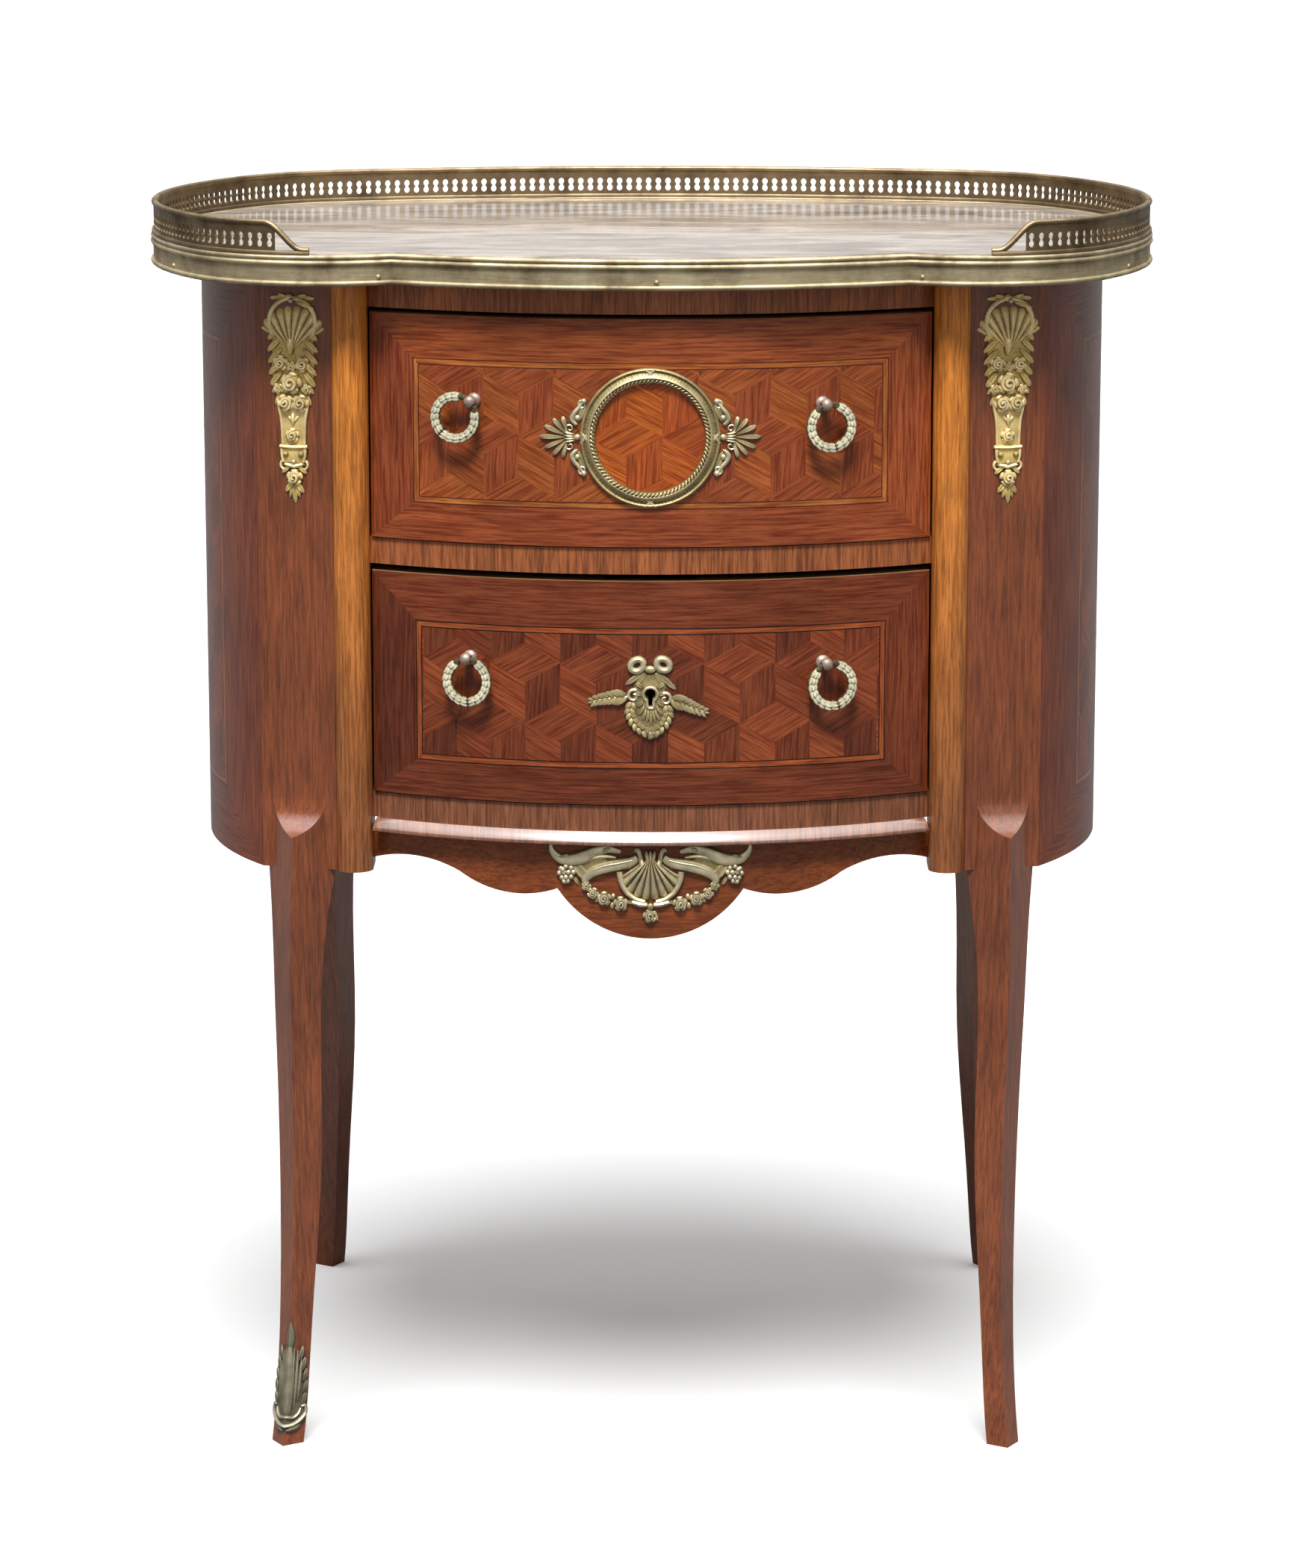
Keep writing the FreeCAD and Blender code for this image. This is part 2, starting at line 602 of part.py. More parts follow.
def rim_nail(centre, radius, turn):
    """Nail through the rim's fascia, square to the arc that it sits on; turn is counted from +X."""
    out = Vec(math.cos(turn), math.sin(turn), 0)
    face = radius - RIM_FASCIA_SET_BACK
    base = Vec(centre[0], centre[1], CASE_TOP + NAIL_RISE)
    shank = Part.makeCylinder(NAIL_RADIUS, NAIL_LENGTH, base + out * (face - NAIL_LENGTH), out)
    head = Part.makeCylinder(NAIL_HEAD_RADIUS, NAIL_HEAD_HEIGHT, base + out * face, out)
    return shank.fuse(head).removeSplitter()


def rim_nails():
    """Nails near the front middle, beside the kinks, at the ends and the back."""
    right = [
        rim_nail(LOBE_CENTRE, LOBE_RADIUS, math.radians(-112)),
        rim_nail(END_CENTRE, END_RADIUS, math.radians(-24)),
        rim_nail(END_CENTRE, END_RADIUS, math.radians(24)),
        rim_nail(BACK_CENTRE, BACK_RADIUS, math.radians(81)),
    ]
    middle = rim_nail(RIM_BOW_CENTRE, RIM_BOW_RADIUS, math.radians(-89.4))
    return [middle] + right + [mirror_x(nail) for nail in right]


def rim_moulding(nails):
    """Brass rim: bead below, plain fascia, reeded lip above."""
    bead = rim_prism(0, CASE_TOP, CASE_TOP + RIM_BEAD_HEIGHT)
    fascia = rim_prism(-RIM_FASCIA_SET_BACK, CASE_TOP + RIM_BEAD_HEIGHT, RIM_TOP - RIM_REED_HEIGHT)
    lip = rim_prism(0, RIM_TOP - RIM_REED_HEIGHT, RIM_TOP)
    solid = fuse_all([bead, fascia, lip]).cut(rim_prism(-RIM_WALL, CASE_TOP, RIM_TOP))
    return cut_all(solid, nails)


def gallery():
    """Right half of the gallery: base strip, upright wall and rolled rail, ramped down at its front end."""
    top = RIM_TOP + GALLERY_HEIGHT

    def strip(width, z0, z1):
        outer = rim_prism(width / 2 - GALLERY_SET_BACK, z0, z1)
        return outer.cut(rim_prism(-width / 2 - GALLERY_SET_BACK, z0, z1))

    whole = fuse_all([
        strip(GALLERY_BASE_WIDTH, RIM_TOP, RIM_TOP + GALLERY_BASE_HEIGHT),
        strip(GALLERY_WALL, RIM_TOP, top - GALLERY_RAIL_HEIGHT / 2),
        strip(GALLERY_RAIL_WIDTH, top - GALLERY_RAIL_HEIGHT, top),
    ])
    end = RIM_HALF - GALLERY_END_FROM_SIDE
    front_gap = box(0, end, RIM_FRONT, 0, RIM_TOP, top)
    slope = ((end, RIM_TOP + GALLERY_END_HEIGHT), (end + GALLERY_RAMP, top), (end, top))
    ramp = prism([Vec(x, RIM_FRONT, z) for x, z in slope], Vec(0, RIM_DEPTH / 2, 0))
    right = whole.common(box(0, RIM_HALF, RIM_FRONT, RIM_BACK, RIM_TOP, top))
    return cut_all(right, [front_gap, ramp])


def apron():
    """Scalloped apron under the moulding, bent to the front."""
    top = MOULDING_BOTTOM

    def at(point, side):
        return Vec(point[0] * side, BOW_CENTRE_Y, top - point[1])

    wing_end = (OPENING_HALF, WING_END_DEPTH)
    edges = [arc(at(LOBE_EDGE, -1), at((0.0, LOBE_DEPTH), 1), at(LOBE_EDGE, 1))]
    for side in (-1, 1):
        edges.append(arc(at(LOBE_EDGE, side), at(WING_LOW, side), at(WING_TURN, side)))
        edges.append(arc(at(WING_TURN, side), at(WING_HIGH, side), at(wing_end, side)))
        edges.append(Part.makeLine(at(wing_end, side), at((OPENING_HALF, 0.0), side)))
    edges.append(Part.makeLine(at((OPENING_HALF, 0.0), -1), at((OPENING_HALF, 0.0), 1)))
    profile = Part.Face(Part.Wire(Part.__sortEdges__(edges)))
    return bow_plate(profile, APRON_OUTER, APRON_OUTER - APRON_THICKNESS)


def apron_mount(pins):
    """Plain plate for the shell and garlands on the apron."""
    top = MOULDING_BOTTOM - APRON_MOUNT_TOP_GAP
    outline = both_sides([(half, top - drop) for half, drop in APRON_MOUNT_OUTLINE])
    plate = bow_plate(front_face(outline), APRON_OUTER + APRON_MOUNT_THICKNESS, APRON_OUTER)
    return cut_all(plate, pins)


def chute(pins):
    """Plain plate for the bronze mount of the front right post."""
    top = CASE_TOP - CHUTE_TOP_GAP
    outline = both_sides([(half, top - drop) for half, drop in CHUTE_OUTLINE])
    plate = prism([on_post(across, 0, z) for across, z in outline], POST_OUT * CHUTE_THICKNESS)
    return cut_all(plate, pins)


def post_pin(drop):
    """Pin through the chute into the front right post."""
    z = CASE_TOP - CHUTE_TOP_GAP - drop
    reach = CHUTE_THICKNESS + PIN_DEPTH
    shank = Part.makeCylinder(PIN_RADIUS, reach, on_post(0, -PIN_DEPTH, z), POST_OUT)
    head = Part.makeCylinder(PIN_HEAD_RADIUS, PIN_HEAD_HEIGHT, on_post(0, CHUTE_THICKNESS, z), POST_OUT)
    return shank.fuse(head).removeSplitter()


def placed(shape, base, direction):
    """A shape modelled along +Z, moved so that it points along a direction from a base point."""
    shape.Placement = FreeCAD.Placement(base, FreeCAD.Rotation(Vec(0, 0, 1), direction))
    return shape


def ring_frame(x, turn_degrees):
    """Directions of a ring at x: out of the front, from the stud to the ring's middle, along the eye."""
    out = bow_normal(x)
    level = Vec(-out.y, out.x, 0)
    turn = math.radians(turn_degrees)
    down = level * math.sin(turn) - Vec(0, 0, 1) * math.cos(turn)
    return out, down, out.cross(down)


def stud(x, z, turn_degrees):
    """Ball stud with a flared eye for its ring, a collar and a shank through the drawer front."""
    out, down, along = ring_frame(x, turn_degrees)
    ball_radius = BOW_RADIUS + STUD_STAND_OFF
    ball_at = bow_point(x, z, ball_radius)
    eye_at = ball_at + down * EYE_DROP
    parts = [
        bow_rod(x, z, STUD_SHANK_RADIUS, FRONT_INNER - NUT_HEIGHT, BOW_RADIUS),
        bow_rod(x, z, STUD_COLLAR_RADIUS, BOW_RADIUS, BOW_RADIUS + STUD_COLLAR_HEIGHT),
        bow_rod(x, z, STUD_NECK_RADIUS, BOW_RADIUS, ball_radius - EYE_RADIUS - EYE_PLAY * 2),
        Part.makeSphere(STUD_BALL_RADIUS, ball_at),
    ]
    reach = STUD_BALL_RADIUS + EYE_DROP
    mouth = EYE_RADIUS + EYE_FLARE
    outline = ((0, -reach), (mouth, -reach), (EYE_RADIUS, 0), (mouth, reach), (0, reach))
    points = [Vec(radius, 0, height) for radius, height in outline]
    half_plane = Part.Face(Part.makePolygon(points + [points[0]]))
    eye = placed(half_plane.revolve(Vec(0, 0, 0), Vec(0, 0, 1), 360), eye_at, along)
    return fuse_all(parts).cut(eye)


def ring(x, z, turn_degrees):
    """Ring that hangs in the eye of a stud."""
    out, down, along = ring_frame(x, turn_degrees)
    middle = bow_point(x, z, BOW_RADIUS + STUD_STAND_OFF) + down * (EYE_DROP + RING_RADIUS)
    return Part.makeTorus(RING_RADIUS, RING_WIRE_RADIUS, middle, out)


def nut(x, z):
    """Hexagonal nut behind the drawer front."""
    turns = [math.radians(turn) for turn in range(0, 360, 60)]
    corners = [Vec(NUT_RADIUS * math.cos(turn), NUT_RADIUS * math.sin(turn), 0) for turn in turns]
    body = prism(corners, Vec(0, 0, NUT_HEIGHT))
    body = placed(body, bow_point(x, z, FRONT_INNER - NUT_GAP - NUT_HEIGHT), bow_normal(x))
    return body.cut(bow_rod(x, z, STUD_SHANK_RADIUS, FRONT_INNER - 2 * NUT_HEIGHT, BOW_RADIUS))


def drawer(bottom, rail_top, cutters):
    """Wooden pieces of one drawer whose front starts at a level; cutters make its holes and recesses."""
    top = bottom + DRAWER_FRONT_HEIGHT
    low = rail_top + DRAWER_RUN_CLEARANCE
    panel_z = low + DRAWER_BOTTOM_RISE
    panel_half = DRAWER_SIDE_IN + DRAWER_GROOVE
    panel = box(-panel_half, panel_half, RIM_FRONT, DRAWER_REAR, panel_z, panel_z + DRAWER_BOTTOM_THICKNESS)
    panel = panel.common(disc(0, BOW_CENTRE_Y, FRONT_INNER + DRAWER_GROOVE, panel_z, top))
    front = bow_wall(FRONT_OUTER, FRONT_INNER, DRAWER_HALF, bottom, top)
    veneer = bow_wall(BOW_RADIUS, FRONT_OUTER, DRAWER_HALF, bottom, top)
    side = box(DRAWER_SIDE_IN, DRAWER_SIDE_OUT, RIM_FRONT, DRAWER_REAR, low, top - DRAWER_SIDE_DROP)
    side = side.common(disc(0, BOW_CENTRE_Y, FRONT_INNER, low, top)).cut(panel)
    back = box(
        -DRAWER_SIDE_IN, DRAWER_SIDE_IN, DRAWER_REAR - DRAWER_BACK_THICKNESS, DRAWER_REAR,
        panel_z + DRAWER_BOTTOM_THICKNESS, top - DRAWER_SIDE_DROP,
    )
    return {
        "front": cut_all(front, [panel] + cutters),
        "veneer": cut_all(veneer, cutters),
        "left_side": mirror_x(side),
        "right_side": side,
        "back": back,
        "bottom": panel,
    }


def medallion(z, pins):
    """Round frame with a palmette on each side, bent to the drawer front."""
    frame = front_disc(0, z, MEDALLION_OUTER_RADIUS)
    root = (MEDALLION_INNER_RADIUS + MEDALLION_OUTER_RADIUS) / 2
    neck = PALMETTE_ROOT_HALF_HEIGHT
    half = PALMETTE_HALF_HEIGHT
    shoulder = PALMETTE_REACH - PALMETTE_SHOULDER
    outline = ((root, -neck), (shoulder, -half), (PALMETTE_REACH, 0), (shoulder, half), (root, neck))
    palmette = front_face([(x, z + rise) for x, rise in outline])
    whole = frame.multiFuse([palmette, mirror_x(palmette)]).cut(front_disc(0, z, MEDALLION_INNER_RADIUS))
    plate = fuse_all([bow_plate(face, BOW_RADIUS + MEDALLION_THICKNESS, BOW_RADIUS) for face in whole.Faces])
    return cut_all(plate, pins)


def keyhole_tool(z):
    """Keyhole through everything in its way: a round hole with a slot below it."""
    reach = BOW_RADIUS
    hole = Part.makeCylinder(KEYHOLE_RADIUS, reach, Vec(0, RIM_FRONT, z), Vec(0, 1, 0))
    half = KEYHOLE_SLOT_WIDTH / 2
    slot = box(-half, half, RIM_FRONT, RIM_FRONT + reach, z - KEYHOLE_SLOT_LENGTH, z)
    return hole.fuse(slot).removeSplitter()


def tilted(point, z):
    """Place on the drawer front of a point of the escutcheon, which hangs a little askew."""
    x, rise = point
    turn = math.radians(ESCUTCHEON_TILT)
    return (x * math.cos(turn) + rise * math.sin(turn), z + rise * math.cos(turn) - x * math.sin(turn))


def escutcheon(z, cutters):
    """Keyhole plate with a bow above it and a spray on each side, bent to the drawer front."""
    profile = front_face([tilted(point, z) for point in both_sides(ESCUTCHEON_OUTLINE)])
    return cut_all(bow_plate(profile, BOW_RADIUS + ESCUTCHEON_THICKNESS, BOW_RADIUS), cutters)


def lock_parts(top, key_z):
    """Lock behind the lower drawer front: hollow case with its back plate, sliding bolt and screws."""
    back = BOW_CENTRE_Y - FRONT_INNER
    low = key_z - LOCK_BELOW_KEY
    half = LOCK_WIDTH / 2
    front = back - LOCK_DEPTH
    wall = LOCK_WALL
    body = box(-half, half, front, back, low, top)
    plate = box(-half - LOCK_PLATE_MARGIN, half + LOCK_PLATE_MARGIN, back, back + wall, low, top)
    hollow = box(-half + wall, half - wall, front + wall, back, low + wall, top - wall)
    bolt_y = (front + wall + back) / 2
    bolt_half = BOLT_WIDTH / 2
    thick = BOLT_THICKNESS / 2
    bolt = box(-bolt_half, bolt_half, bolt_y - thick, bolt_y + thick, top - BOLT_LENGTH, top)
    slot_half = bolt_half + BOLT_PLAY
    slot_thick = thick + BOLT_PLAY
    slot = box(-slot_half, slot_half, bolt_y - slot_thick, bolt_y + slot_thick, top - 2 * wall, top)
    screws = []
    for x in (-half - LOCK_PLATE_MARGIN / 2, half + LOCK_PLATE_MARGIN / 2):
        for z in (low + LOCK_PLATE_MARGIN, top - LOCK_PLATE_MARGIN):
            tip = Vec(x, back + wall - LOCK_SCREW_LENGTH, z)
            shank = Part.makeCylinder(LOCK_SCREW_RADIUS, LOCK_SCREW_LENGTH, tip, Vec(0, 1, 0))
            seat = Vec(x, back + wall, z)
            head = Part.makeCylinder(LOCK_SCREW_HEAD_RADIUS, LOCK_SCREW_HEAD_HEIGHT, seat, Vec(0, 1, 0))
            screws.append(shank.fuse(head).removeSplitter())
    recess = body.fuse(plate).removeSplitter()
    case = cut_all(recess, [hollow, slot, keyhole_tool(key_z)] + screws)
    return case, bolt, screws, recess


def bolt_mortise(top):
    """Hole in the middle rail for the raised bolt."""
    back = BOW_CENTRE_Y - FRONT_INNER
    middle = (back - LOCK_DEPTH + LOCK_WALL + back) / 2
    half = BOLT_WIDTH / 2 + 2 * BOLT_PLAY
    thick = BOLT_THICKNESS / 2 + 2 * BOLT_PLAY
    ceiling = top + BOLT_TRAVEL + 4 * BOLT_PLAY
    return box(-half, half, middle - thick, middle + thick, MIDDLE_RAIL_BOTTOM, ceiling)


def carcass():
    """Pieces that stand still, apart from the mounts."""
    legs = {
        "front_right_leg": leg(FOOT_SPREAD["front_right_leg"]),
        "front_left_leg": mirror_x(leg(FOOT_SPREAD["front_left_leg"])),
        "rear_right_leg": mirror_y(leg(FOOT_SPREAD["rear_right_leg"])),
        "rear_left_leg": mirror_y(mirror_x(leg(FOOT_SPREAD["rear_left_leg"]))),
    }
    right_legs = [legs["front_right_leg"], legs["rear_right_leg"]]
    all_legs = list(legs.values())
    rails = {
        "top_rail": rail(TOP_RAIL_BOTTOM, CASE_TOP),
        "middle_rail": rail(MIDDLE_RAIL_BOTTOM, UPPER_RUNNER_TOP).cut(bolt_mortise(LOWER_FRONT_TOP)),
        "bottom_rail": rail(BOTTOM_RAIL_BOTTOM, LOWER_RUNNER_TOP),
    }
    right_column = column(list(rails.values()), legs["front_right_leg"])
    columns = [right_column, mirror_x(right_column)]
    panel = side_shell(SIDE_RADIUS - VENEER_THICKNESS, SIDE_RADIUS - SIDE_THICKNESS, right_legs)
    skin = side_shell(SIDE_RADIUS, SIDE_RADIUS - VENEER_THICKNESS, right_legs)
    neighbours = all_legs + columns + list(rails.values())
    moulding = bow_wall(
        BOW_RADIUS + MOULDING_PROJECTION, RAIL_INNER, OPENING_HALF, MOULDING_BOTTOM, BOTTOM_RAIL_BOTTOM,
    )
    dust_bottom = MIDDLE_RAIL_BOTTOM + DUST_BOARD_RISE
    dust_top = dust_bottom + BOARD_THICKNESS
    bottom_top = BOTTOM_RAIL_BOTTOM + BOARD_THICKNESS
    upper_runner = runner(dust_top, UPPER_RUNNER_TOP, neighbours)
    lower_runner = runner(bottom_top, LOWER_RUNNER_TOP, neighbours)
    right_guides = [guide(UPPER_RUNNER_TOP), guide(LOWER_RUNNER_TOP)]
    right_stops = [stop(UPPER_RUNNER_TOP), stop(LOWER_RUNNER_TOP)]
    runners = [upper_runner, lower_runner]
    pieces = dict(legs)
    pieces.update(rails)
    pieces.update({
        "right_column": right_column,
        "left_column": columns[1],
        "right_side_panel": panel,
        "left_side_panel": mirror_x(panel),
        "right_side_veneer": skin,
        "left_side_veneer": mirror_x(skin),
        "back_panel": back_panel(all_legs),
        "bottom_moulding": moulding,
        "front_apron": apron(),
        "dust_board": inside_board(dust_bottom, dust_top, neighbours),
        "bottom_board": inside_board(BOTTOM_RAIL_BOTTOM, bottom_top, neighbours),
        "drawer_runners": runners + [mirror_x(piece) for piece in runners],
        "drawer_guides": right_guides + [mirror_x(piece) for piece in right_guides],
        "drawer_stops": right_stops + [mirror_x(piece) for piece in right_stops],
    })
    return pieces


def top():
    """Oval board, marble, brass rim with its nails, and the two halves of the gallery."""
    nails = rim_nails()
    right_gallery = gallery()
    return {
        "top_board": cut_all(rim_prism(-RIM_WALL, CASE_TOP, MARBLE_BOTTOM), nails),
        "marble_top": rim_prism(-RIM_WALL - MARBLE_PLAY, MARBLE_BOTTOM, RIM_TOP),
        "rim_moulding": rim_moulding(nails),
        "rim_nails": nails,
        "right_gallery": right_gallery,
        "left_gallery": mirror_x(right_gallery),
    }


def mounts(pieces):
    """Bronze mounts of the carcass with their pins; the wood behind them gets the pin holes."""
    post_pins = [post_pin(drop) for drop in CHUTE_PIN_DROPS]
    face = APRON_OUTER + APRON_MOUNT_THICKNESS
    depth = APRON_MOUNT_THICKNESS + PIN_DEPTH
    apron_z = MOULDING_BOTTOM - APRON_MOUNT_TOP_GAP - APRON_PIN_DROP
    apron_pins = [bow_pin(x, apron_z, face, depth) for x in (-APRON_PIN_FROM_MIDDLE, APRON_PIN_FROM_MIDDLE)]
    right_chute = chute(post_pins)
    left_pins = [mirror_x(pin) for pin in post_pins]
    pieces["front_right_leg"] = cut_all(pieces["front_right_leg"], post_pins)
    pieces["front_left_leg"] = cut_all(pieces["front_left_leg"], left_pins)
    pieces["front_apron"] = cut_all(pieces["front_apron"], apron_pins)
    pieces.update({
        "right_chute": right_chute,
        "left_chute": mirror_x(right_chute),
        "apron_mount": apron_mount(apron_pins),
        "mount_pins": post_pins + left_pins + apron_pins,
        "left_sabot": mirror_x(sabot(FOOT_SPREAD["front_left_leg"])),
    })


def drawer_pieces(prefix, bottom, rail_top, cutters):
    """Wooden pieces of a drawer, with their node names."""
    return {prefix + "_drawer_" + name: shape for name, shape in drawer(bottom, rail_top, cutters).items()}


def ring_pulls(prefix, middle_z):
    """Studs, nuts and rings of one drawer, with the holes that the studs need."""
    studs = []
    nuts = []
    holes = []
    rings = {}
    hole_radius = STUD_SHANK_RADIUS + HOLE_PLAY
    for side, sign in (("left", -1), ("right", 1)):
        name = prefix + "_" + side + "_ring"
        turn, right_shift, up_shift = RING_FIT[name]
        x = sign * STUD_FROM_MIDDLE + right_shift
        z = middle_z + STUD_ABOVE_MIDDLE + up_shift
        studs.append(stud(x, z, turn))
        nuts.append(nut(x, z))
        holes.append(bow_rod(x, z, hole_radius, FRONT_INNER - NUT_HEIGHT, BOW_RADIUS + STUD_COLLAR_HEIGHT))
        rings[name] = ring(x, z, turn)
    return studs, nuts, holes, rings


def upper_drawer():
    """Upper drawer with its medallion and ring pulls."""
    middle = UPPER_FRONT_BOTTOM + DRAWER_FRONT_HEIGHT / 2
    studs, nuts, holes, rings = ring_pulls("upper", middle)
    face = BOW_RADIUS + MEDALLION_THICKNESS
    centre = middle - MEDALLION_DROP
    band = (MEDALLION_INNER_RADIUS + MEDALLION_OUTER_RADIUS) / 2
    reach = PALMETTE_REACH - MEDALLION_PIN_INSET
    depth = MEDALLION_THICKNESS + PIN_DEPTH
    spots = ((0.0, centre + band), (0.0, centre - band), (-reach, centre), (reach, centre))
    pins = [bow_pin(x, z, face, depth) for x, z in spots]
    pieces = drawer_pieces("upper", UPPER_FRONT_BOTTOM, UPPER_RUNNER_TOP, holes + pins)
    pieces.update(rings)
    pieces.update({
        "upper_ring_studs": studs,
        "upper_ring_nuts": nuts,
        "medallion_frame": medallion(centre, pins),
        "medallion_pins": pins,
    })
    return pieces


def lower_drawer():
    """Lower drawer with its escutcheon, lock and ring pulls."""
    middle = LOWER_FRONT_BOTTOM + DRAWER_FRONT_HEIGHT / 2
    studs, nuts, holes, rings = ring_pulls("lower", middle)
    face = BOW_RADIUS + ESCUTCHEON_THICKNESS
    depth = ESCUTCHEON_THICKNESS + PIN_DEPTH
    pins = [bow_pin(*tilted(point, middle), face, depth) for point in ESCUTCHEON_PINS]
    case, bolt, screws, recess = lock_parts(LOWER_FRONT_TOP, middle)
    key = keyhole_tool(middle)
    cutters = holes + pins + [key, recess] + screws
    pieces = drawer_pieces("lower", LOWER_FRONT_BOTTOM, LOWER_RUNNER_TOP, cutters)
    pieces.update(rings)
    pieces.update({
        "lower_ring_studs": studs,
        "lower_ring_nuts": nuts,
        "keyhole_escutcheon": escutcheon(middle, pins + [key]),
        "escutcheon_pins": pins,
        "lock_case": case,
        "lock_screws": screws,
        "lock_bolt": bolt,
    })
    return pieces


def write(pieces):
    """One file for each piece, or for each group of like pieces."""
    os.makedirs("parts", exist_ok=True)
    for name, shape in sorted(pieces.items()):
        solids = []
        for item in shape if isinstance(shape, list) else [shape]:
            solids.extend(item.Solids)
        whole = solids[0] if len(solids) == 1 else Part.makeCompound(solids)
        whole.exportStep("parts/" + name + ".step")
        corners = whole.optimalBoundingBox(True, False)
        print(
            f"{name:24s} solids {len(solids)} valid {whole.isValid()} volume {whole.Volume:12.1f} "
            f"x {corners.XMin:7.1f} {corners.XMax:7.1f} y {corners.YMin:7.1f} {corners.YMax:7.1f} "
            f"z {corners.ZMin:6.1f} {corners.ZMax:6.1f}"
        )


def main():
    """Builds and writes every piece."""
    pieces = carcass()
    pieces.update(top())
    mounts(pieces)
    pieces.update(upper_drawer())
    pieces.update(lower_drawer())
    write(pieces)


main()
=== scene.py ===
"""Oval nightstand with two bowed drawers: cube parquetry, brass rim and gallery, gilt bronze mounts.

Sizes are in millimetres. Most pieces are modelled in a flat frame of their own (across, up, out)
and then laid on the part by a rule.
"""
import bisect
import json
import math
import random

import bmesh
import bpy
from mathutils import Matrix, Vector


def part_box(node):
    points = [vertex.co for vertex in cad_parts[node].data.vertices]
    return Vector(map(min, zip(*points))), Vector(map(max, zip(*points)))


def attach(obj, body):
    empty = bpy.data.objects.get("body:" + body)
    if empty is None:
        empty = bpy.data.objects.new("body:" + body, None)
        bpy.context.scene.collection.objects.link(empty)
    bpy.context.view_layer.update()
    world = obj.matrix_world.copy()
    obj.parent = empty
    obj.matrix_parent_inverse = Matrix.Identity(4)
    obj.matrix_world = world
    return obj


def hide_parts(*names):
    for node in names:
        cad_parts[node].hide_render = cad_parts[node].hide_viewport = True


bl_info = {
    "name": "Oval nightstand",
    "version": (1, 0, 0),
    "blender": (4, 5, 0),
    "location": "View3D > Sidebar > Nightstand",
    "description": "Builds the visible pieces of an oval nightstand around its packed frame",
    "category": "Add Mesh",
}

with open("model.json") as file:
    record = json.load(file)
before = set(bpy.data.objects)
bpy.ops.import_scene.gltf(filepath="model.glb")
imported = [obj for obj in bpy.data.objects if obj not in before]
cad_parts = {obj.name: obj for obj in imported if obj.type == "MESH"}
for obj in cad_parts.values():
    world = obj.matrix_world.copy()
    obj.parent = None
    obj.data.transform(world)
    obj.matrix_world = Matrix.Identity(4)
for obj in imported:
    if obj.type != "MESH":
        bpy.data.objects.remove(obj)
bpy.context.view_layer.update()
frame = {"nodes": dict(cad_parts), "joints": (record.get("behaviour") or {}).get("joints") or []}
MM = 0.001
X, Y, Z = 0, 1, 2


def span(node, axis):
    """Lowest and highest place of a CAD node along an axis, in millimetres."""
    return [round(corner[axis] / MM, 3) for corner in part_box(node)]


def arc_radius(half_chord, rise):
    """Radius of the arc over a chord, from half the chord and the arc's rise."""
    return (half_chord ** 2 + rise ** 2) / (2 * rise)


def meeting(first, first_radius, second, second_radius):
    """Left and right meeting point of two circles in the plan."""
    gap = Vector(second) - Vector(first)
    along = (first_radius ** 2 - second_radius ** 2 + gap.length_squared) / (2 * gap.length)
    across = math.sqrt(first_radius ** 2 - along ** 2)
    way = gap.normalized()
    middle = Vector(first) + way * along
    side = Vector((-way.y, way.x)) * across
    return sorted((middle + side, middle - side), key=lambda p: p.x)


def foot_corners(level):
    """Plan places of the left corner, the arris and the right corner of the front left foot at a level."""
    bm = bmesh.new()
    bm.from_mesh(frame["nodes"]["front_left_leg"].data)
    geom = bm.verts[:] + bm.edges[:] + bm.faces[:]
    cut_line = bmesh.ops.bisect_plane(
        bm, geom=geom, dist=1e-7, plane_co=(0, 0, level * MM), plane_no=(0, 0, 1))["geom_cut"]
    spots = [item.co.xy / MM for item in cut_line if isinstance(item, bmesh.types.BMVert)]
    bm.free()
    return min(spots, key=lambda p: p.x), min(spots, key=lambda p: p.y), max(spots, key=lambda p: p.x)


# Levels
CASE_TOP, RIM_TOP = span("rim_moulding", Z)
GALLERY_TOP = span("left_gallery", Z)[1]
UPPER_DRAWER = span("upper_drawer_veneer", Z)
LOWER_DRAWER = span("lower_drawer_veneer", Z)
MOULDING_LOW, MOULDING_HIGH = span("bottom_moulding", Z)
CHUTE_TOP = span("right_chute", Z)[1]
MEDALLION_Z = sum(span("medallion_frame", Z)) / 2
KEYHOLE_Z = sum(LOWER_DRAWER) / 2

# Bowed front
OPENING_HALF = span("bottom_moulding", X)[1]
DRAWER_HALF = span("upper_drawer_veneer", X)[1]
FRONT_BOW = 43.5
BOW_RADIUS = arc_radius(OPENING_HALF, FRONT_BOW)
BOW_CENTRE_Y = span("upper_drawer_veneer", Y)[0] + BOW_RADIUS
APRON_RADIUS = BOW_RADIUS - 4.0
RAIL_INNER = BOW_RADIUS - 30.0
NOSE_RADIUS = BOW_RADIUS + 5.0
VENEER = 1.2

# Front posts and sides of the case
POST_X = 213.5
POST_Y = -143.5
POST_TURN = math.radians(14)
POST_WIDTH = 47.0
CASE_HALF = span("right_side_veneer", X)[1]
SIDE_HALF = span("right_side_veneer", Y)[1]
SIDE_RISE = CASE_HALF - POST_X - POST_WIDTH / 2 * math.cos(POST_TURN)
SIDE_RADIUS = arc_radius(SIDE_HALF, SIDE_RISE)
SIDE_CENTRE_X = CASE_HALF - SIDE_RADIUS

